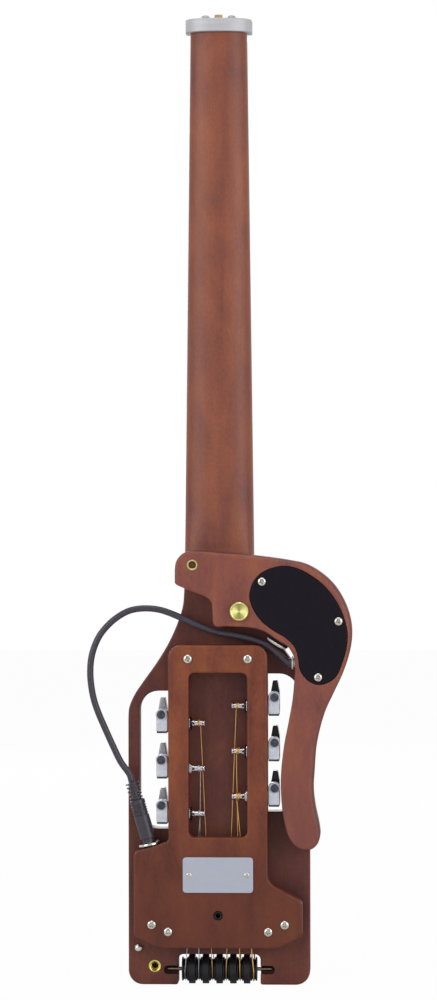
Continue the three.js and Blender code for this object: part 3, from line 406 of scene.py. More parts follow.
# Slab: the flat walnut-stained body, 19 mm thick, routed for the finger slots, the roller notch and
# the axle. Its edges are eased by hand, so each outline carries a small quarter round.
slab_back = -9.5
slab_front = 9.5
slab_half = 66.75
slab_corner_radius = 10.5
slab_edge = 1.1
side_stagger = 12.7
shoulder_height = 196
flare_height = 94
slab_top = 306
neck_root_half = 25.4
notch_half = 30.3
notch_height = 22.3
notch_corner = 4.0
notch_mouth_corner = 1.5
slot_inner = 28.8
slot_outer = 58.35
slot_low = 114.7
slot_high = 216
slot_corner = 14
slot_small_corner = 3
flare_shares = [
    (1, 0), (0.985, 0.08), (0.891, 0.18), (0.762, 0.267), (0.508, 0.423), (0.281, 0.586),
    (0.109, 0.755), (0.023, 0.881), (0, 1),
]
axle_height = 10.9
axle_y = -2.3
bore_radius = 1.75
channel_half = 3.2
channel_end = 40.9
channel_mouth_corner = 0.5
ramp_y = 4.3
ramp_top = 34.7
ramp_margin = 0.7
thumbscrew_spot = (15.9, 275)
ferrule_spot = (-18.5, 308.9)
insert_spot = (-47.4, 13.7)
overrun = 1
arc_steps = 9
slab_bores = [
    # spot, far end, radius
    (thumbscrew_spot, 0.8, 3.3), (ferrule_spot, -1.5, 2.7), (insert_spot, 3.1, 4.6),
]
# A darker rim of painted shade on a raised block's sides, between two depths under its back.
rim_from = -29
rim_to = -27.3
rim_shade = "501c15"


def traced(shares, left, width, bottom, height, steps, count, closed=True):
    """count points along a smooth curve through shares of a width and a height."""
    points = np.asarray(shares, float) * (width, height) + (left, bottom)
    return spaced(smooth(points, steps, closed), count, closed)


def rounded(corners):
    """An outline of (x, z, radius) corners, each rounded by an arc that touches both its sides."""
    c = np.asarray(corners, float)
    spot, radius = c[:, :2], c[:, 2]
    back, on = (unit(np.roll(spot, step, 0) - spot) for step in (1, -1))
    half = np.arccos(np.clip((back * on).sum(1), -1, 1)) / 2
    centre = spot + unit(back + on) * (radius / np.sin(half))[:, None]
    reach = (radius / np.tan(half))[:, None]
    first, last = spot + back * reach - centre, spot + on * reach - centre
    start = np.arctan2(first[:, 1], first[:, 0])
    sweep = np.arctan2(last[:, 1], last[:, 0]) - start
    sweep = (sweep + np.pi) % (2 * np.pi) - np.pi
    t = np.linspace(0, 1, arc_steps)[None, :]
    angle = start[:, None] + sweep[:, None] * t
    arc = np.stack([np.cos(angle), np.sin(angle)], 2) * radius[:, None, None]
    return (centre[:, None] + arc).reshape(-1, 2)


def block(left, right, low, high, corner, left_corner=None):
    """A rounded rectangle, counter-clockwise from its lower right corner. The two corners on its
    left may have a radius of their own."""
    other = left_corner or corner
    return rounded([(right, low, corner), (right, high, corner), (left, high, other),
                    (left, low, other)])


def inset(outline, amount):
    """The outline moved to its left by an amount, along the mean normal of its two sides."""
    run = unit(np.roll(outline, -1, 0) - np.roll(outline, 1, 0))
    left = np.stack([-run[:, 1], run[:, 0]], 1)
    return outline + left * np.broadcast_to(amount, len(outline))[:, None]


def board(outlines, y_near, y_far, edge_near=0.0, edge_far=0.0, steps=5, upright=False):
    """A flat board between two depths. Its first outline runs counter-clockwise and the others,
    its holes, clockwise. Each wall is a grid of rings, whose edge ring k is moved in by
    r (1 - cos a) at depth r (1 - sin a), and a last ring just inside keeps the flat face flat.
    The outline lies in X and Z, or in X and Y for an upright board between two heights."""
    lip = 0.25
    a = np.linspace(np.pi / 2, 0, steps + 1)[:, None]
    points, faces, rims = [], [], ([], [])
    start = 0
    for outline in outlines:
        near, far = (np.broadcast_to(edge, len(outline)) for edge in (edge_near, edge_far))
        moved, deep = (
            np.vstack([near_lip, near * step, (far * step)[::-1], far_lip])
            for near_lip, far_lip, step in (
                (near + lip, far + lip, 1 - np.cos(a)), (0 * near, 0 * far, 1 - np.sin(a)),
            )
        )
        deep = np.where(np.arange(len(deep))[:, None] < len(deep) / 2, y_near + deep, y_far - deep)
        rings = [np.column_stack([inset(outline, m), d]) for m, d in zip(moved, deep)]
        number = start + np.arange(moved.size).reshape(moved.shape)
        points += rings
        faces.append(quads(*moved.shape) + start)
        start += moved.size
        for rim, row in zip(rims, (0, -1)):
            rim.append((rings[row], number[row]))
    faces = [np.vstack(faces)]
    for rim in rims:
        filled = tessellate_polygon([[Vector((x, z, 0)) for x, z, _ in ring] for ring, _ in rim])
        faces.append(np.concatenate([number for _, number in rim])[np.asarray(filled)])
    skin = np.vstack(points)
    return skin if upright else skin[:, [0, 2, 1]], faces


def prism(outline, low, high):
    """A closed (y, z) outline carried along X from low to high."""
    count = len(outline)
    ends = [np.column_stack([np.full(count, x), outline]) for x in (low, high)]
    return np.vstack(ends), [quads(2, count), [range(count)], [range(count, 2 * count)]]


def aside(axis):
    """A direction well away from an axis: up, or to the front where the axis points up."""
    return upward if abs(axis[2]) < 0.9 else toward_front


def drill(spot, axis, near, far, radius, sides=32):
    """A round bar for cutting, along an axis from near to far of a spot."""
    axis = unit(axis)
    return tube([spot + axis * t for t in (near, far)], radius, sides, aside(axis))


def at(spot, depth=0):
    """A spot (x, z) on the guitar's back or front, at a depth along Y."""
    return (spot[0], depth, spot[1])


def bore(spot, near, far, radius):
    """A round bar for cutting, straight in from the back at a spot (x, z)."""
    return drill(at(spot), toward_front, near, far, radius)


def carve(made, cutters):
    """Cuts closed shells, or lists of them, out of a piece, one after the other, and keeps its
    sharp edges sharp."""
    for cutter in cutters:
        shells = cutter if isinstance(cutter, list) else [cutter]
        tool = piece("cutter", shells, cut_finish, None, body=None)
        cut = made.modifiers.new("cut", "BOOLEAN")
        cut.operation = "DIFFERENCE"
        cut.solver = "EXACT"
        cut.object = tool
        bpy.context.view_layer.update()
        carved = bpy.data.meshes.new_from_object(
            made.evaluated_get(bpy.context.evaluated_depsgraph_get())
        )
        made.modifiers.clear()
        made.data = carved
        bpy.data.objects.remove(tool)
    while len(made.data.materials) > 1:
        made.data.materials.pop()
    made.data.polygons.foreach_set("material_index", [0] * len(made.data.polygons))
    shade(made.data)


def wood(name, dark, middle, light, start, satin=0.42, pore_share=0.4, shade_fade=None, gloss=0.42,
         cloud_share=0.7, rim=0):
    """Stained wood under a satin coat. Three noises, drawn out along Z, set the colour: clouds of
    stain between purple and orange, bands of growth some millimetres wide, and a fine grain with
    open pores. A painted shade may darken the stain towards the bottom, from dark to full between
    two heights, and a raised block's sides may hold a darker rim of painted shade, which starts
    half a millimetre under its back."""
    made = Finish(name)
    spot = made.coordinates()
    made.spot = made.node("VectorMath", {0: spot, 1: start}, operation="ADD")
    clouds = made.noise((44, 44, 20), 5, 0.6, 0.2)
    bands = made.noise((130, 90, 7), 3, 0.5, 0.4)
    grain = made.noise((900, 900, 380), 2, 0.7)
    pores = made.noise((2100, 2100, 200), 1)
    pits = made.limit(pores, 0.66, 0.76)
    middle_tone = 0.5 - (cloud_share + 0.5) / 2
    tone = clouds * cloud_share + bands * 0.2 + grain * 0.3 + middle_tone
    low = made.mix(made.limit(tone, 0.3, 0.52), linear(dark), linear(middle))
    high = made.mix(made.limit(tone, 0.46, 0.72), low, linear(light))
    stain_and_shade = made.mix(pits * pore_share, high, linear(dark))
    # Painted shade: the sides of a raised block darken into a rim.
    if rim:
        depth = made.limit(made.part(spot, "Y"), rim_from * metre, rim_to * metre)
        stain_and_shade = made.mix(depth * rim, stain_and_shade, linear(rim_shade))
    # Painted shade: towards the bottom the stain turns dark, as if the light falls off there.
    if shade_fade:
        low_height, high_height, shade_share = shade_fade
        height = made.limit(made.part(spot, "Z"), low_height * metre, high_height * metre)
        stain_and_shade = made.mix((1 - height) * shade_share, stain_and_shade, linear(dark))
    made.set(
        Base_Color=stain_and_shade,
        Roughness=grain * 0.12 + clouds * 0.08 + (satin - 0.1),
        Normal=made.bump(grain * 0.3 - pits * 0.5, 0.03),
        Specular_IOR_Level=gloss,
    )
    return made


cut_finish = Finish("cut")
slab_wood = wood("slab_wood", "4e2828", "65342c", "784430", (0, 0, 0), gloss=0.35)
slot_right = block(slot_inner, slot_outer, slot_low, slot_high, slot_corner, slot_small_corner)
slot_left = (slot_right * (-1, 1))[::-1]
flare = traced(flare_shares, neck_root_half, slab_half - neck_root_half, shoulder_height,
               flare_height, 10, 60, False)
bottom_half = [
    (notch_half, notch_height, notch_corner), (notch_half, 0, notch_mouth_corner),
    (slab_half, 0, slab_corner_radius), (slab_half, shoulder_height, 1),
]
bottom = rounded([(-x, z, radius) for x, z, radius in bottom_half[::-1]] + bottom_half)
slab_outline = np.vstack([
    bottom[arc_steps:-arc_steps], flare + (0, side_stagger),
    [(neck_root_half, slab_top), (-neck_root_half, slab_top)], (flare * (-1, 1))[::-1],
])
slab = piece(
    "slab",
    [board(
        [spaced(slab_outline, 900, True), spaced(slot_right + (0, side_stagger), 240, True)[::-1],
         spaced(slot_left, 240, True)[::-1]],
        slab_back, slab_front, slab_edge, slab_edge,
    )],
    slab_wood, "walnut_body", ["body"],
)
ramp_side = np.array([
    (slab_front + overrun, axle_height), (slab_front + overrun, ramp_top), (slab_front, ramp_top),
    (ramp_y, notch_height - overrun), (ramp_y, axle_height),
])
ramp_half = notch_half - ramp_margin
channel_mouth = notch_half - overrun
channel_round = channel_half - clearance
channel_span = (axle_height - channel_half, axle_height + channel_half)
channels = [
    board([outline], slab_back - overrun, axle_y + bore_radius) for outline in (
        block(channel_mouth, channel_end, *channel_span, channel_round, channel_mouth_corner),
        block(-channel_end, -channel_mouth, *channel_span, channel_mouth_corner, channel_round),
    )
]
carve(slab, [
    prism(ramp_side, -ramp_half, ramp_half), *channels,
    *[bore(spot, slab_back - overrun, far, radius) for spot, far, radius in slab_bores],
])


# Neck: one piece of wood with the slab, rounded at the back by spokeshave and flat under the
# fretboard. Its sections go from a full slab at the heel to a shallow round at the end cap.
neck_low = 297
neck_top = 701.0
nut_line = 697.65
heel_height = 320
neck_half_at_nut = 20.9
neck_half_at_heel = 25.4
neck_stations = [
    # height, depth, squareness
    (neck_low, 18.9, 7.0), (306, 18.9, 7.0), (313, 17.9, 5.0), (320, 16.8, 3.6),
    (334, 16.5, 2.8), (348, 16.4, 2.35), (400, 16.2, 2.25), (500, 15.8, 2.2), (600, 15.4, 2.2),
    (neck_top, 15, 2.2),
]
neck_side = 3.0


def neck_half(z):
    """Half the neck's width, which falls evenly from the heel to the nut."""
    t = (np.asarray(z, float) - heel_height) / (nut_line - heel_height)
    return neck_half_at_heel + (neck_half_at_nut - neck_half_at_heel) * t


def oval(angle, square):
    """A superellipse's shares across and down: sgn(cos a) |cos a|^(2/n) and |sin a|^(2/n)."""
    across, down = (np.abs(wave(angle)) ** (2 / square) for wave in (np.cos, np.sin))
    return np.sign(np.cos(angle)) * across, down


def neck_skin(heights, steps=56):
    """Sections (x, y) at each height: x = half across and y falls from the side by
    (depth - side) down, closed by the flat that carries the fretboard."""
    table = np.array(neck_stations)
    depth, square = (np.interp(heights, table[:, 0], table[:, k])[:, None] for k in (1, 2))
    across, down = oval(np.linspace(0, np.pi, steps + 1)[None, :], square)
    half = neck_half(heights)[:, None]
    flat = np.full_like(half, slab_front)
    x = np.hstack([half, half * across, -half])
    y = np.hstack([flat, slab_front - neck_side - (depth - neck_side) * down, flat])
    z = np.broadcast_to(heights[:, None], x.shape)
    count, columns = x.shape
    ends = [[range(columns)], [range((count - 1) * columns, count * columns)]]
    return np.stack([x, y, z], 2).reshape(-1, 3), [quads(count, columns), *ends]


neck_wood = wood("neck_wood", "6a3631", "854631", "9c583a", (0.3, 0.1, 0.2), 0.48, 0.3,
                 gloss=0.54, cloud_share=0.58)
neck_heights = np.concatenate([np.linspace(neck_low, 350, 28), np.linspace(360, neck_top, 36)])
piece("neck", [neck_skin(neck_heights)], neck_wood, "walnut_body")


# Tuner housing: the raised hardwood block screwed to the slab's back, with a window over the
# string posts, a tunnel under its lower part for the strings, and a sloped shoulder for the jack.
housing_edge = 1.5
housing_half = 36.3
housing_top = 250.3
wing_half = 61.6
housing_corners = [
    (-wing_half, 38.2, 3.2), (-43.5, 28.9, 20), (43.5, 28.9, 20), (wing_half, 38.2, 3.2),
    (wing_half, 63.05, 5), (housing_half, 77.3, 9.5), (housing_half, housing_top, 9.4),
    (-housing_half, housing_top, 9.4), (-housing_half, 106.5, 4.8), (-wing_half, 99.3, 4),
]
window_half = 21.3
window_low = 110
window_high = 230
window_corner = 4.4
tunnel_half = 28.2
tunnel_low = 20
tunnel_high = 113
tunnel_depth = 8.7
socket_spot = (0, 53)
post_pitch = 33.2
post_low = 126.5
posts = [
    # number, side, height
    *[(n, -1, post_low + post_pitch * (n - 1)) for n in (1, 2, 3)],
    *[(n, 1, post_low + (side_stagger + post_pitch * (6 - n))) for n in (4, 5, 6)],
]
housing_bores = [
    # spot, axis, near end, far end, radius
    (jack, jack_axis, -20, 3, 5.1), (at(socket_spot, block_back), toward_front, -1, 6.3, 3.45),
    *[((0, block_middle, z), (side, 0, 0), 20.3, 37.3, 3.5) for n, side, z in posts],
]
# Painted shade on the housing: its stain darkens from 170 mm down to 50 mm, and its sides hold a
# rim of painted shade.
housing_wood = wood("housing_wood", "58281b", "793d28", "904f2c", (0.7, 0.2, 0.5),
                    shade_fade=(50, 170, 0.62), gloss=0.38, rim=0.3)
window = block(-window_half, window_half, window_low, window_high, window_corner)
housing = piece(
    "housing",
    [board(
        [spaced(rounded(housing_corners), 640, True), spaced(window, 320, True)[::-1]],
        block_back, block_floor, housing_edge, 0.3,
    )],
    housing_wood, "housing_wood", ["tuner_housing"],
)
tunnel_side = np.array([
    (block_floor + overrun, tunnel_low), (block_floor + overrun, tunnel_high),
    (block_floor - tunnel_depth, tunnel_high), (block_floor - tunnel_depth, tunnel_low),
])
tunnel = prism(tunnel_side, -tunnel_half, tunnel_half)
carve(housing, [tunnel, *[drill(*row) for row in housing_bores]])


# Lap rest: a curved mahogany arm that hooks over the player's leg, with a generous round along its
# outer side, a recess for the control cover and a routed pocket for the electronics.
rest_left = -31.3
rest_width = 129.5
rest_bottom = 101
rest_height = 219
rest_edge_small = 1.6
rest_edge_gain = 2.6
rest_steps = 720
rest_outer_side = (0.8, 0.6)
edge_blend = np.ones(41) / 41
rest_shares = [
    (0.063, 0.993), (0.011, 0.965), (0, 0.932), (0, 0.89), (0.054, 0.871), (0.184, 0.838),
    (0.207, 0.822), (0.212, 0.79), (0.225, 0.746), (0.3, 0.744), (0.436, 0.739), (0.502, 0.728),
    (0.579, 0.698), (0.639, 0.675), (0.66, 0.657), (0.673, 0.639), (0.677, 0.614), (0.665, 0.508),
    (0.641, 0.426), (0.614, 0.343), (0.597, 0.245), (0.6, 0.163), (0.614, 0.097), (0.637, 0.047),
    (0.67, 0.017), (0.716, 0), (0.762, 0), (0.8, 0.017), (0.818, 0.047), (0.814, 0.081),
    (0.791, 0.147), (0.781, 0.202), (0.786, 0.261), (0.8, 0.354), (0.846, 0.459), (0.893, 0.52),
    (0.949, 0.591), (0.99, 0.668), (1, 0.729), (0.986, 0.784), (0.949, 0.839), (0.893, 0.888),
    (0.818, 0.927), (0.734, 0.954), (0.623, 0.968), (0.446, 0.982), (0.297, 0.99),
]
cover_left = 23.4
cover_width = 71.2
cover_bottom = 221.6
cover_height = 86.4
cover_shares = [
    (0.33, 1), (0.144, 0.953), (0.042, 0.869), (0, 0.743), (0.042, 0.632), (0.127, 0.534),
    (0.246, 0.457), (0.381, 0.388), (0.466, 0.311), (0.5, 0.214), (0.516, 0.13), (0.567, 0.06),
    (0.635, 0.016), (0.719, 0), (0.804, 0.019), (0.889, 0.075), (0.948, 0.187), (0.991, 0.312),
    (1, 0.438), (0.965, 0.564), (0.889, 0.702), (0.77, 0.829), (0.635, 0.918), (0.483, 0.982),
]
cover_thickness = 1.6
pocket_wall = 4
pocket_depth = 13
knob = np.array([43.9, block_middle, 253.2])
knob_lean = math.radians(31.3)
knob_axis = np.array([-math.sin(knob_lean), 0, -math.cos(knob_lean)])
rest_bores = [
    # spot, axis, near end, far end, radius
    (knob, knob_axis, -10, 1, 3.3), (knob, knob_axis, -1.2, 12, 8.9),
    (gland, leftward, -9, 1, 3.7), (gland, leftward, 0, 12, 4.9),
]
# Painted shade on the lap rest: its stain darkens from 250 mm down to 80 mm, and its sides hold a
# rim of painted shade.
rest_wood = wood("rest_wood", "6e3d3a", "864a3e", "98583e", (1.1, 0.3, 0.8), 0.44, 0.35,
                 (80, 250, 0.4), rim=0.6)
rest_outline = np.clip(
    traced(rest_shares, rest_left, rest_width, rest_bottom, rest_height, 12, rest_steps),
    (rest_left, rest_bottom), (rest_left + rest_width, rest_bottom + rest_height),
)
to_outer_side = np.clip((rest_outline - inset(rest_outline, 1)) @ rest_outer_side, 0, 1)
rest_edge = np.tile(rest_edge_small + rest_edge_gain * to_outer_side ** 0.7, 3)
rest_edge = np.convolve(rest_edge, edge_blend, "same")[rest_steps : 2 * rest_steps]
rest = piece(
    "rest", [board([rest_outline], block_back, block_floor, rest_edge, 1.2, 6)],
    rest_wood, "rest_wood", ["lap_rest"], "lap_rest",
)
cover_outline = traced(cover_shares, cover_left, cover_width, cover_bottom, cover_height, 12, 320)
carve(rest, [
    board([inset(cover_outline, -clearance)], block_back - overrun,
          block_back + cover_thickness + clearance),
    board([inset(cover_outline, pocket_wall)], block_back - overrun, block_back + pocket_depth),
    *[bore(spot, block_back - overrun, block_floor + overrun, radius)
      for spot, radius in ((thumbscrew_spot, 3.3), (ferrule_spot, 4.15))],
    *[drill(*row) for row in rest_bores],
])


# Nameplate and screws: a bare plate of brushed nickel silver, and pan-headed screws with a cross
# recess that hold the plate, the housing and the control cover.
plate_back = -30.7
plate_front = -29.8
plate_middle = 82.6
plate_half_width = 25.7
plate_half_height = 12.95
plate_corner = 2.5
housing_screw_spots = [
    (side * x, z) for x, z in ((21.9, 240.3), (48.6, 46.2), (36.6, 41.1)) for side in (-1, 1)
]
cover_screw_spots = [(32.4, 296.7), (88.2, 267.7), (73.3, 226.9)]
cross_narrow_share = 0.19
cross_long_share = 0.64
cross_floor_share = 0.42


def turned(spot, axis, profile, sides=48, shape=None):
    """A turned solid: point (i, k) = spot + along i axis + radius i (side cos k + up sin k), where
    the profile gives along and radius, and a shape may change both by the angle."""
    axis = unit(axis)
    side = unit(np.cross(axis, aside(axis)))
    up = np.cross(axis, side)
    along, radius = np.asarray(profile, float).T[:, :, None]
    turn = np.linspace(0, 2 * np.pi, sides, endpoint=False)[None, :]
    if shape:
        along, radius = shape(along, radius, turn)
    along, radius, turn = (q[..., None] for q in np.broadcast_arrays(along, radius, turn))
    points = spot + along * axis + radius * (np.cos(turn) * side + np.sin(turn) * up)
    return points.reshape(-1, 3), [quads(len(profile), sides)]


def lathe(name, spot, axis, profile, finish, slot, replaces=(), sides=48, shape=None,
          body="guitar"):
    """A piece of one turned solid."""
    return piece(name, [turned(spot, axis, profile, sides, shape)], finish, slot, replaces, body)


def dome(base, radius, rise, power=0.8, rows=9):
    """A profile from the rim to the middle: radius cos(a)^power and base + rise sin(a)."""
    a = np.linspace(0, np.pi / 2, rows)
    return [(base + rise * math.sin(t), radius * max(math.cos(t), 0) ** power) for t in a]


def cross_cutter(spot, axis, size, top, depth, turn):
    """A tapered cross for a recess: twelve corners at the top, and the same nearer the middle."""
    axis = np.array(axis)
    side = np.cross(axis, aside(axis))
    up = np.cross(axis, side)
    narrow, long = cross_narrow_share * size, cross_long_share * size
    quarter = np.array([(narrow, narrow), (narrow, long), (-narrow, long)])
    rings = []
    for share, level in ((1.0, top + 0.2), (cross_floor_share, depth)):
        corners = [quarter * share @ [[math.cos(q), math.sin(q)], [-math.sin(q), math.cos(q)]]
                   for q in turn + np.arange(4) * np.pi / 2]
        flat = np.vstack(corners)
        rings.append(spot + axis * level + flat[:, :1] * side + flat[:, 1:] * up)
    return np.vstack(rings), [quads(2, 12), [range(12)], [range(12, 24)]]


def screws(name, spots, axis, radius, rise, finish, cross=1.0, body="guitar"):
    """Pan heads on a face: each has a small step under its rim and a cross recess, turned by an
    angle of its own."""
    head = [(0, 0), (0, radius - 0.3), (0.22, radius - 0.3), (0.22, radius - 0.04),
            *dome(0.34, radius, rise - 0.34, 0.62)]
    heads = [turned(spot, axis, head, 40) for spot in spots]
    made = piece(name, heads, finish, "nickel_parts", body=body)
    carve(made, [[cross_cutter(spot, axis, cross * radius, rise, rise * 0.1, 0.4 + 1.7 * k)
                  for k, spot in enumerate(spots)]])


nickel = surface("nickel", "d2cfc6", "eae6dc", 0.22, 260, 0.004, 1.0)
plate_finish = surface("brushed_plate", "c6cada", "ced2e0", 0.42, (160, 900, 4200), 0.003, 1.0)
plate = block(-plate_half_width, plate_half_width, plate_middle - plate_half_height,
              plate_middle + plate_half_height, plate_corner)
piece(
    "nameplate_sheet", [board([plate], plate_back, plate_front, 0.35, 0.05)],
    plate_finish, "plate_metal", ["nameplate"],
)
plate_screw_places = [(x, plate_back, plate_middle) for x in (-21.1, 21.1)]
screws("nameplate_screws", plate_screw_places, toward_back, 1.9, 1.0, nickel, 1.35)
housing_screw_places = [at(spot, block_back) for spot in housing_screw_spots]
screws("housing_screws", housing_screw_places, toward_back, 3.35, 2.0, nickel)


# Headphone socket: a black moulded ring pressed into the housing, with a nickel sleeve inside
# that is painted dark as the shade in its bore.
socket_place = at(socket_spot, block_back)
# Painted shade for metal: the socket's sleeve, which stands in its bore's shade, and the right-hand
# tuner paddles, which mirror shade.
black_button = surface("black_button", "121214", "1e1e22", 0.12, 300, 0.01)
black_satin = surface("black_moulding", "120f16", "17141e", 0.45, 700, 0.004, gloss=0.15)
socket_profile = [
    (-6, 0), (-6, 3.15), (0.45, 3.15), (0.7, 3.0), (0.75, 2.75), (0.4, 2.7), (0.35, 1.95),
    (0.1, 1.75), (-5.5, 1.75), (-5.5, 0),
]
sleeve_profile = [
    (0.36, 1.95), (0.5, 2.0), (0.58, 2.15), (0.58, 2.5), (0.5, 2.65), (0.36, 2.68), (0.36, 1.95),
]
lathe("socket_body", socket_place, toward_back, socket_profile, black_satin, "black_plastic",
      ["headphone_socket"])
lathe("socket_sleeve", socket_place, toward_back, sleeve_profile, black_button, "nickel_parts")


# Control cover: a lid of black moulded plastic, let in flush over the electronics in the lap rest,
# and held by three screws. The green circuit board lies under it.
board_finish = Finish("circuit_board")
traces = board_finish.limit(board_finish.noise(260, 1), 0.5, 0.53)
board_finish.set(
    Base_Color=board_finish.mix(traces, linear("1f4a30"), linear("3a7048")),
    Roughness=traces * 0.2 + 0.4,
)
piece(
    "cover_lid", [board([cover_outline], block_back, block_back + cover_thickness, 0.7, 0.1)],
    black_satin, "black_plastic", ["control_cover"], "lap_rest",
)
cover_screw_places = [at(spot, block_back) for spot in cover_screw_spots]
screws("cover_screws", cover_screw_places, toward_back, 3.2, 2.0, nickel, body="lap_rest")
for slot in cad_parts["preamp_board"].material_slots:
    slot.material = board_finish.material


# Thumbscrew, ferrule and pin: the lap rest is held by a knurled brass thumbscrew with a spun face,
# and kept from turning by a wooden dowel in a brass ferrule.
thumbscrew_radius = 7.1
thumbscrew_rise = 4.0
face_radius = 5.3
face_rise = 3.3
face_top = 3.4
spun_pitch = 0.25
spun_depth = 0.018
thumbscrew_place = at(thumbscrew_spot, block_back)
ferrule_place = at(ferrule_spot, block_back)


def knurled(depth, count):
    """The outermost rows lose depth (1 + cos(count angle)) / 2, which leaves rounded teeth."""
    def shape(along, radius, turn):
        rim = (radius > radius.max() - 0.3) * 1.0
        return along, radius - rim * depth * (1 + np.cos(count * turn)) / 2
    return shape


brass = surface("brass", "f2e88c", "f8f2ac", 0.28, 240, 0.002, 1.0)
# The spun face's hourglass glint is painted: its colour runs from dark above and below the middle
# to light on either side of it, a painted highlight.
spun_brass_painted_glint = Finish("spun_brass_painted_glint")
face_spot = spun_brass_painted_glint.coordinates()
across, up = (
    spun_brass_painted_glint.part(face_spot, side) - place * metre for side, place in zip("XZ", thumbscrew_spot)
)
glint = across * across / (across * across + up * up + 1e-9)
spun_brass_painted_glint.set(
    Base_Color=spun_brass_painted_glint.mix(glint, linear("a8a45e"), linear("f2eca0")), Metallic=0.9,
    Roughness=glint * -0.1 + 0.5,
)
thumbscrew_profile = [
    (-29.7, 0), (-29.7, 2.6), (-29.3, 3), (0.3, 3), (0.3, 6.7),
    *[(along, thumbscrew_radius) for along in (0.6, 1.6, 2.6, 3.2)], (3.5, 6.78), (3.8, 6.6),
    (thumbscrew_rise, 6.3), (thumbscrew_rise, 5.9), (3.85, 5.6), (3.5, 5.4),
    (face_rise, face_radius), (face_rise, 0),
]
face_profile = [
    (face_rise, 0), (face_rise, face_radius),
    *[(face_top + spun_depth * math.cos(2 * math.pi * radius / spun_pitch), radius)
      for radius in np.arange(face_radius, 0.2, -0.05)],
    (face_top, 0),
]
ferrule_profile = [
    (-19.7, 2.8), (-19.7, 4), (-0.05, 4), (0.15, 3.85), (0.15, 3.0), (0, 2.8), (-19.7, 2.8),
]
dowel_profile = [(-28, 0), (-28, 2.4), (-1.5, 2.4), (-1.2, 2.1), (-1.2, 0)]
lathe("thumbscrew_head", thumbscrew_place, toward_back, thumbscrew_profile, brass, "brass_parts",
      ["thumbscrew"], 192, knurled(0.42, 48), "thumbscrew")
lathe("thumbscrew_face", thumbscrew_place, toward_back, face_profile, spun_brass_painted_glint, "brass_parts",
      sides=96, body="thumbscrew")
lathe("ferrule_ring", ferrule_place, toward_back, ferrule_profile, brass, "brass_parts",
      ["ferrule"], 64, body="lap_rest")
lathe("dowel", ferrule_place, toward_back, dowel_profile, slab_wood, "rest_wood", ["locating_pin"])


# Volume knob and cord gland, on the lap rest's inner edge: a black knurled skirt under a pale
# nickel cap, and a nickel gland whose rubber collar eases the cord's bend.
skirt_radius = 8.6
polished = surface("polished_nickel", "dcdad0", "f2f0e6", 0.2, 200, 0.005, 1.0)
cream_nickel = surface("cream_nickel", "ecece0", "fafaf0", 0.36, 900, 0.004, 0.25)
skirt_profile = [
    (-9, 0), (-9, 2.7), (-8.7, 3), (-0.8, 3), (-0.8, 8.3),
    *[(along, skirt_radius) for along in (-0.6, 0, 0.8, 1.4)], (1.6, 8.3), (1.6, 0),
]
gland_profile = [
    (-8, 0), (-8, 3.4), (0.3, 3.4), (0.3, 4.4), (0.5, 4.7), (1.3, 4.7), (1.5, 4.5), (1.5, 0),
]
lathe("knob_skirt", knob, knob_axis, skirt_profile, black_satin, "black_plastic",
      ["volume_knob"], 224, knurled(0.35, 56), "volume_knob")
lathe("knob_cap", knob, knob_axis, [(1.6, 0), (1.6, 7.9), *dome(1.9, 8.1, 1.9, 0.6, 14)],
      cream_nickel, "nickel_parts", sides=72, body="volume_knob")
lathe("gland_flange", gland, leftward, gland_profile, cream_nickel, "nickel_parts",
      ["cord_gland"], body="lap_rest")
collar = piece(
    "gland_collar", [tube(cord_centre[:6], np.linspace(3.3, 2.45, 6), 24, toward_front)],
    rubber, "cord_rubber", body="lap_rest",
)


# Output jack and plug: a nickel washer on the sloped shoulder, and a straight plug with a rubber
# grip, five grip rings and a flexible boot cut into ribs, which a spine joins on one side.
plug_seat = 3.2
barrel_from = 6.2
barrel_radius = 5.6
boot_from = 35.8
boot_radius = 3.5
boot_taper = 0.07
rib_pitch = 2.7
rib_radius = 5.0
ring_pitch = 1.9


def wavy(along, radius, turn):
    """The washer's rim rises and falls by 0.3 mm twice round."""
    return along + 0.3 * np.sin(2 * turn + 0.6) * (radius > 6.5), radius


def ribbed(along, radius, turn):
    """Past the boot's start the radius grows to that of the ribs where a wave along the boot is
    high, and on a spine that joins the ribs on the side towards the player."""
    boot = (along > boot_from + 0.4) & (along < boot_end - 0.3)
    wave = -np.cos(2 * np.pi * (along - boot_from) / rib_pitch)
    rib = 1 / (1 + np.exp(-9 * (wave - 0.1)))
    spine = 0.75 / (1 + np.exp(-14 * (np.sin(turn) - 0.82)))
    return along, radius + (rib_radius - radius) * np.maximum(rib, spine) * boot


plug_rubber = surface("plug_rubber", "342f38", "423c48", 0.36, 600, 0.01)
washer_profile = [
    (-20, 0), (-20, 4.8), (0.9, 4.8), (0.9, 7.6), (1.25, 8.1), (2.2, 8.1), (2.7, 7.8), (2.9, 7.1),
    (2.9, 2.1), (-13, 2.1), (-13, 0),
]
black_ring_profile = [(0.1, 5.2), (0.1, 6.8), (0.85, 6.8), (0.85, 5.2), (0.1, 5.2)]
grip_rings = [
    (along + ring_pitch * k, barrel_radius - depth) for k in range(5)
    for along, depth in ((23.6, 0), (23.85, 0.5), (24.5, 0.5), (24.75, 0))
]
boot_rows = np.linspace(boot_from + 0.1, boot_end - 0.1, 90)
grip_profile = [
    (plug_seat, 0), (plug_seat, 4.4), (barrel_from - 0.2, 4.5), (barrel_from, 5.2),
    (barrel_from + 0.4, barrel_radius), (barrel_from + 10, barrel_radius + 0.05), *grip_rings,
    (boot_from - 0.7, barrel_radius - 0.05), (boot_from, 4.6), (boot_from, boot_radius),
    *[(along, boot_radius - boot_taper * (along - boot_from)) for along in boot_rows],
    (boot_end, cord_radius), (boot_end, 0),
]
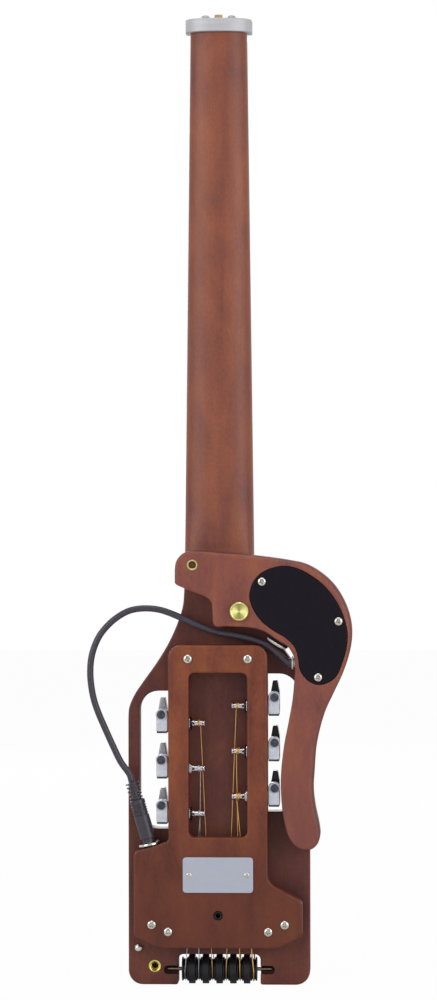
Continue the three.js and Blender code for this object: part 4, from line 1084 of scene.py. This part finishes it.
tip_profile = [
    (plug_seat - 14, 0), (plug_seat - 14, 0.9), (plug_seat - 13.2, 1.75), (plug_seat - 11.6, 1.2),
    (plug_seat - 11, 1.75), (plug_seat + 0.2, 1.75), (plug_seat + 0.2, 0),
]
lathe("jack_washer", jack, jack_axis, washer_profile, polished, "nickel_parts",
      ["output_jack"], 72, wavy)
# A black ring fills the dark band between the washer and the shoulder.
lathe("jack_black_ring", jack, jack_axis, black_ring_profile, black_satin, "black_plastic")
plug_grip = lathe("plug_grip", jack, jack_axis, grip_profile, plug_rubber, "cord_rubber",
                  ["cord_plug"], 64, ribbed, "plug")
plug_tip = lathe("plug_tip", jack, jack_axis, tip_profile, nickel, "nickel_parts", body="plug")


# Tuners: six banjo-style worm tuners with die-cast cases. The post turns across the window, its
# bush is clamped by a hex nut on the window's wall, and a paddle on the worm reaches into the
# slab's slot.
case_inner = 36.7
case_outer = 45.1
case_back = block_middle - 7.3
case_front = block_middle + 7.3
case_low = 5.7
case_high = 10.7
foot_inset = 0.3
foot_low = 7
foot_high = 5
worm_offset = 41.4
worm_rise = 6.6
button_back = -9.2
button_front = 4.8
bush_bore = 2.4
bush_radius = 3.2
wall_nut = 5.0
post_radius = 2.1
hub_low = case_inner - 0.35
hub_high = case_inner + 0.6
boss_profile = [
    (7.0, 3.2), (7.0, 4.1), (7.6, 4.05), (8.1, 3.75), (8.2, 3.4), (8.0, 3.2), (7.0, 3.2),
]
hub_profile = [
    (hub_low, bush_bore), (hub_low, 5.6), (hub_high, 5.6), (hub_high, bush_bore),
    (hub_low, bush_bore),
]
bush_profile = [
    (19.2, bush_bore), (19.2, 3.05), (19.35, bush_radius), (19.5, bush_radius), (19.5, 4.5),
    (19.7, wall_nut), (20.4, wall_nut), (20.6, 4.5), (20.6, bush_radius), (36.2, bush_radius),
    (36.2, bush_bore), (19.2, bush_bore),
]
post_washer_profile = [
    (20.6, bush_radius), (20.6, 5.0), (20.75, 5.2), (21.1, 5.2), (21.2, 5.0),
    (21.2, bush_radius), (20.6, bush_radius),
]
post_profile = [
    (9.9, 0), (9.9, post_radius), (10.05, 2.4), (10.4, 2.5), (10.7, 2.42), (11.3, 2.12),
    (11.8, post_radius), (17.3, post_radius), (17.5, 2.4), (17.75, 2.5), (18.85, 2.5),
    (19.05, 2.35), (19.1, post_radius), (43.3, post_radius), (43.3, 0),
]
post_holes = [(18.2, 0.9), (11.2, 0.6)]
paddle_corners = [
    (1.65, 11.7, 1.2), (-1.65, 11.7, 1.2), (-3.1, 3.4, 1.6), (-3.1, -3.4, 1.6),
    (-1.65, -11.7, 1.2), (1.65, -11.7, 1.2), (3.1, -3.4, 1.6), (3.1, 3.4, 1.6),
]
button_cap_profile = [
    (7.6, 0), (7.6, 2.95), (8.3, 2.95), (8.6, 2.8), (8.75, 2.4), (8.85, 1.5), (8.9, 0),
]
die_cast = surface("die_cast", "cccfd9", "dcdee8", 0.44, 500, 0.006, 0.5)
chrome = surface("chrome", "c8c8ce", "e8e8ee", 0.12, 200, 0.004, 1.0)
# Painted shade for the wall nuts: the same chrome, made dark where the window keeps the light from
# it.
shaded_nut_paint = surface("shaded_nut", "232327", "44444a", 0.22, 200, 0.004, 1.0)
cap_finish = surface("tuner_cap", "34363f", "565a66", 0.35, 400, 0.02, 0.6)
# Painted reflection: the left-hand paddles are the same chrome as the right-hand ones, painted pale
# as if they mirror the bright room.
silver_button = surface("silver_button", "acaeb2", "c4c6ca", 0.3, 300, 0.01, 0.35)


def from_flat(turn):
    """The angle from the nearest flat of a hexagon."""
    return (turn + np.pi / 6) % (np.pi / 3) - np.pi / 6


def hexagonal(along, radius, turn):
    """Rows wider than the thread become a hexagon: r / cos of the angle from the nearest flat."""
    nut = np.minimum(radius, 0.9 * radius.max() / np.cos(from_flat(turn)))
    return along, np.where(radius > 3.6, nut, radius)


for n, side, z in posts:
    outward = (side, 0, 0)
    centre = (0, block_middle, z)
    worm = (side * worm_offset, block_middle, z + worm_rise)
    inner, outer = sorted((side * case_inner, side * case_outer))
    case = rounded([(outer, z - case_low, 1.1), (outer, z + case_high, 4.1),
                    (inner, z + case_high, 4.1), (inner, z - case_low, 1.1)])
    foot = block(inner + foot_inset, outer - foot_inset, z - foot_low, z - foot_high, 0.7)
    paddle = rounded([(worm[0] + x, worm[2] + up, radius) for x, up, radius in paddle_corners])
    shell = board([case], case_back, case_front, 0.7, 0.5)
    boss = turned(worm, toward_back, boss_profile)
    hub = turned(centre, outward, hub_profile)
    piece(f"tuner_shell_{n}", [shell, boss, hub], die_cast, "die_cast", [f"tuner_case_{n}"])
    # Each case's foot is die-cast like the case, painted dark with the caps' finish as the shade
    # under its step.
    piece(f"tuner_foot_{n}", [board([foot], case_back + 0.6, case_front, 0.3, 0.3)], cap_finish,
          "die_cast")
    # The bushes and wall nuts of tuners 2 and 6 stay bright chrome, and the others take the painted
    # shade.
    lathe(f"tuner_bush_{n}", centre, outward, bush_profile, chrome if n in (2, 6) else shaded_nut_paint,
          "nickel_parts", shape=hexagonal)
    lathe(f"post_washer_{n}", centre, outward, post_washer_profile, chrome, "nickel_parts")
    post = lathe(f"post_shaft_{n}", centre, outward, post_profile, chrome, "post_steel",
                 [f"tuner_post_{n}"], body=f"post_{n}")
    carve(post, [drill((side * x, block_middle, z), toward_front, -4, 4, radius, 20)
                 for x, radius in post_holes])
    shaft = turned(worm, toward_back, [(-11, 0), (-11, 1.5), (7.65, 1.5), (7.65, 0)], 24)
    # All six paddles are one chrome part: the left ones take a painted light reflection, the right
    # ones a painted dark one.
    look = (silver_button, "die_cast") if side < 0 else (black_button, "black_plastic")
    piece(f"button_paddle_{n}", [board([paddle], button_back, button_front, 0.8, 0.8), shaft],
          *look, [f"tuner_button_{n}"], f"button_{n}")
    lathe(f"button_cap_{n}", worm, toward_back, button_cap_profile, cap_finish, "die_cast",
          body=f"button_{n}")


# Strings: two plain steel and four wound in bronze. Each leaves the end cap, crosses the nut and
# the saddle, turns round its roller at the tail and comes back up to be wound on its post.
string_radii = (0.25, 0.28, 0.32, 0.38, 0.46, 0.58)
middle_string = 3.5
nut_spacing = 7.2
nut_rise = 6.9
nut_thickness = 3
roller_pitch = 10.1
cap_bottom = 701.3
overall_length = 711
anchor_depth = 4.85
saddle_height = 69
saddle_half = 1.5
saddle_front = 18.2
groove_radius = 7.6
string_turns = 2.5
string_wrap = 13.2
turn_gap = 0.04
winding_pitch = 0.32
plain_string = surface("plain_string", "d4d0d0", "f0eeee", 0.3, 300, 0.005, 1.0)
wound_string = Finish("wound_string")
height = wound_string.part(wound_string.coordinates(), "Z")
wraps = (height * (2 * math.pi / (winding_pitch * metre))).sine()
# The colour is paler on the crown of each wrap and darker between wraps: painted shade in the
# grooves, on the same wave as the bump.
wound_string.set(
    Base_Color=wound_string.mix(wraps * 0.5 + 0.5, linear("dca456"), linear("f6d090")),
    Metallic=1.0, Roughness=wraps * 0.06 + 0.34, Normal=wound_string.bump(wraps, 0.012),
)


def arc_points(x, y, z, radius, first, last, steps):
    """Points of a circle in the plane across X: y + r cos a and z + r sin a."""
    a = np.linspace(first, last, steps)
    return np.column_stack([
        np.broadcast_to(x, steps), y + radius * np.cos(a), z + radius * np.sin(a)
    ])


for n, side, z in posts:
    thick = string_radii[n - 1]
    nut_x, tail_x = (n - middle_string) * nut_spacing, (n - middle_string) * roller_pitch
    nut_y = slab_front + 2 * clearance + nut_rise + thick
    saddle_y = saddle_front + clearance + thick
    wrap = groove_radius + clearance + thick
    post_wrap = post_radius + clearance + thick
    away_y, away_z = saddle_y - axle_y, saddle_height - saddle_half - axle_height
    front = math.atan2(away_z, away_y) - math.acos(wrap / math.hypot(away_y, away_z))
    rise_y, rise_z = block_middle - axle_y, z - axle_height
    back = math.atan2(rise_z, rise_y) + math.acos((wrap + post_wrap) / math.hypot(rise_y, rise_z))
    turns = np.linspace(0, string_turns, 71)
    winding = arc_points(
        side * (string_wrap + turns * (2 * thick + turn_gap)), block_middle, z, post_wrap,
        back + math.pi, back + math.pi + 2 * math.pi * string_turns, len(turns),
    )
    route = np.vstack([
        [(nut_x, nut_y, overall_length - anchor_depth), (nut_x, nut_y, nut_line + nut_thickness),
         (nut_x, nut_y, nut_line), (tail_x, saddle_y, saddle_height + saddle_half),
         (tail_x, saddle_y, saddle_height - saddle_half)],
        arc_points(tail_x, axle_y, axle_height, wrap, front, back - 2 * math.pi, 30), winding,
    ])
    look = (wound_string, "string_wound") if n >= 3 else (plain_string, "string_plain")
    piece(f"string_wire_{n}", [tube(route, thick, 10, rightward)], *look, [f"string_{n}"], sharp=60)


# Tail: six turned rollers of black plastic and five spacers on a steel axle that lies in the slab.
axle_radius = 1.45
wheel_half = 2.4
wheel_ease = 0.2
flange_radius = 8.8
groove_half = 0.9
groove_depth = 1.2
groove_floor_half = 0.5
spacer_half = 2.35
spacer_radius = 10.8
roller_finish = surface("roller_plastic", "131316", "1b1b20", 0.3, 900, 0.004)
axle_finish = surface("axle_steel", "8c8276", "bab0a0", 0.3, 400, 0.01, 1.0)


def mirrored(flank):
    """A closed profile from the half of it that lies left of its middle."""
    return [*flank, *[(-along, radius) for along, radius in flank[::-1]], flank[0]]


axle_profile = [
    (-38.9, 0), (-38.7, 0.8), (-38.2, axle_radius), (38.2, axle_radius), (38.7, 0.8), (38.9, 0),
]
wheel_profile = mirrored([
    (-wheel_half, bore_radius), (-wheel_half, flange_radius - wheel_ease),
    (wheel_ease - wheel_half, flange_radius), (-groove_floor_half - groove_half, flange_radius),
    *[(-groove_floor_half - groove_half * math.cos(t), flange_radius - groove_depth * math.sin(t))
      for t in np.linspace(0, np.pi / 2, 6)],
])
spacer_profile = mirrored([
    (-spacer_half, bore_radius), (-spacer_half, spacer_radius - wheel_ease),
    (wheel_ease - spacer_half, spacer_radius),
])
lathe("axle_rod", (0, axle_y, axle_height), rightward, axle_profile, axle_finish, "post_steel",
      ["tail_axle"])
tail_disc = (roller_finish, "roller_plastic")
for n in range(1, 7):
    place = ((n - middle_string) * roller_pitch, axle_y, axle_height)
    lathe(f"roller_wheel_{n}", place, rightward, wheel_profile, *tail_disc, [f"roller_{n}"], 64,
          body=f"roller_{n}")
for n in range(1, 6):
    place = ((n + 0.5 - middle_string) * roller_pitch, axle_y, axle_height)
    lathe(f"spacer_disc_{n}", place, rightward, spacer_profile, *tail_disc, [f"spacer_{n}"], 64)


# Insert and stud: a threaded brass insert for a stand, and a nickel dome stud, in the slab's tail.
insert_bore = 2.4
thread_depth = 0.18
stud_spot = (-59.3, 27.1)
insert_finish = surface("insert_brass", "e8dc74", "f6ee9c", 0.26, 240, 0.003, 1.0)
insert_profile = [
    (-12, insert_bore), (-12, 4.4), (-11.8, 4.55), (0.1, 4.55), (0.3, 4.35), (0.3, 3.7),
    (0.1, 3.3), (-0.9, 2.5),
    *[(-deep, insert_bore + thread_depth * (k % 2))
      for k, deep in enumerate(np.arange(1.2, 11.6, 0.35))],
    (-12, insert_bore),
]
stud_profile = [(-8, 0), (-8, 1.6), (0.3, 1.6), (0.3, 2.9), *dome(0.6, 3.1, 2.8, 0.85, 12)]
lathe("insert_ring", at(insert_spot, slab_back), toward_back, insert_profile, insert_finish,
      "brass_parts", ["brass_insert"], 64)
lathe("stud_dome", at(stud_spot, slab_back), toward_back, stud_profile, polished, "nickel_parts",
      ["dome_stud"])


# End cap: a milled and satin-polished alloy cap over the neck's end, held by two domed screws, with
# the strings' anchor holes in front and the truss rod's brass hex nut in the middle.
cap_margin = 3.7
cap_face = 20.5
cap_corner = 2.5
cap_squareness = 2.3
anchor_rise = 7.5
anchor_gap = 0.6
rod_y = 4.7
cap_screw_offset = 9.6
nut_flat = 2.85
cap_alloy = surface("cap_alloy", "bcbcc0", "c6c6ca", 0.5, (40, 40, 900), 0.003, 0.3, 0.3)
domed_nickel = surface("domed_nickel", "a8a09c", "bcb4b0", 0.4, 260, 0.004, 0.5)
tan_brass = surface("tan_brass", "a48a5c", "b89c6c", 0.42, 240, 0.004, 0.5)


def circle(x, y, radius, count=24):
    """A round outline, counter-clockwise."""
    a = np.linspace(0, 2 * np.pi, count, endpoint=False)
    return np.column_stack([x + radius * np.cos(a), y + radius * np.sin(a)])


def hex_nut(along, radius, turn):
    """A hexagon whose corners the top chamfer rounds off."""
    return along, np.minimum(radius, nut_flat / np.cos(from_flat(turn)))


cap_half = neck_half_at_nut + cap_margin
cap_drop = neck_stations[-1][1] + cap_margin - neck_side
across, down = oval(np.linspace(0, np.pi, 121), cap_squareness)
cap_round = np.column_stack([cap_half * across, slab_front - neck_side - cap_drop * down])[::-1]
cap_flat = rounded([
    (cap_half, cap_face, cap_corner), (-cap_half, cap_face, cap_corner), (-cap_half, 0, 1),
    (cap_half, 0, 1),
])[: 2 * arc_steps]
cap_outline = spaced(np.vstack([cap_round, cap_flat]), 360, True)
cap_holes = [
    circle((n - middle_string) * nut_spacing, slab_front + anchor_rise + thick,
           2 * thick + anchor_gap)[::-1]
    for n, thick in enumerate(string_radii, 1)
]
piece(
    "cap_block",
    [board([cap_outline, *cap_holes], cap_bottom, overall_length, 0.5, 0.9, upright=True)],
    cap_alloy, "cap_alloy", ["end_cap"],
)
cap_screw_places = [(x, rod_y, overall_length) for x in (-cap_screw_offset, cap_screw_offset)]
screws("cap_screws", cap_screw_places, upward, 3.3, 3.4, domed_nickel)
truss_profile = [
    (-9, 0), (-9, 2.2), (0.25, 2.2), (0.3, 3.3), (3.0, 3.3), (3.5, 2.85), (3.7, 2.4), (3.7, 1.3),
    (1.5, 1.2), (1.5, 0),
]
lathe("truss_nut", (0, rod_y, overall_length), upward, truss_profile, tan_brass, "brass_parts",
      ["truss_rod"], 72, hex_nut)


# Front: a dark fretboard with 22 nickel frets, a bone nut and saddle, a wooden bridge and a plain
# black pickup cover. The photograph doesn't show this side.
board_front = 9.8
fretboard_front = 15.5
fretboard_overhang = 4.4
scale_length = 628.65
fret_count = 22
fret_half = [(-0.5, -1.1), (0, -1.1), (0.55, -0.85), (0.9, -0.45)]
fret_margin = 0.5
fret_heights = nut_line - scale_length * (1 - 2 ** (-np.arange(1, fret_count + 1) / 12))
fretboard_low = fret_heights[-1] - fretboard_overhang
low_half, top_half = neck_half(fretboard_low), neck_half(nut_line)
dark_wood = wood("dark_wood", "1e1210", "2e1e1a", "42302a", (0.4, 0.6, 0.1), 0.5, 0.3)
bone = surface("bone", "d8ceb4", "ece4d0", 0.42, (90, 90, 500), 0.02)
fretboard_outline = rounded([
    (low_half, fretboard_low, 1.5), (top_half, nut_line - clearance, 0.2),
    (-top_half, nut_line - clearance, 0.2), (-low_half, fretboard_low, 1.5),
])
piece(
    "fingerboard",
    [board([spaced(fretboard_outline, 400, True)], board_front, fretboard_front, 0.2, 0.9)],
    dark_wood, "fretboard_wood", ["fretboard"],
)
fret_round = np.array([*fret_half, (1, 0), *[(rise, -up) for rise, up in fret_half[::-1]]])
fret_bars = [
    prism(fret_round + (fretboard_front, z), fret_margin - neck_half(z), neck_half(z) - fret_margin)
    for z in fret_heights
]
piece("frets", fret_bars, nickel, "nickel_parts")
front_blocks = [
    # piece, half width, low, high, corner, back, front, back edge, front edge, finish, slot, node
    ("nut_bar", top_half, nut_line, nut_line + nut_thickness, 1.2, board_front,
     board_front + nut_rise, 0.1, 0.8, bone, "bone", "nut"),
    ("bridge_block", 33, 60, 78, 3.2, board_front, board_front + 3.2, 0.2, 1.0, dark_wood,
     "fretboard_wood", "bridge_base"),
    ("saddle_bar", 28.5, saddle_height - saddle_half, saddle_height + saddle_half, 1.4,
     board_front + 2, saddle_front, 0.1, 1.0, bone, "bone", "saddle"),
    ("pickup_cover", 35, 87, 107, 2, slab_front - 11, slab_front + 4.8, 0.2, 1.2, black_satin,
     "black_plastic", "pickup"),
]
for name, half, low, high, corner, near, far, near_edge, far_edge, *look, node in front_blocks:
    outline = block(-half, half, low, high, corner)
    piece(name, [board([outline], near, far, near_edge, far_edge)], *look, [node])
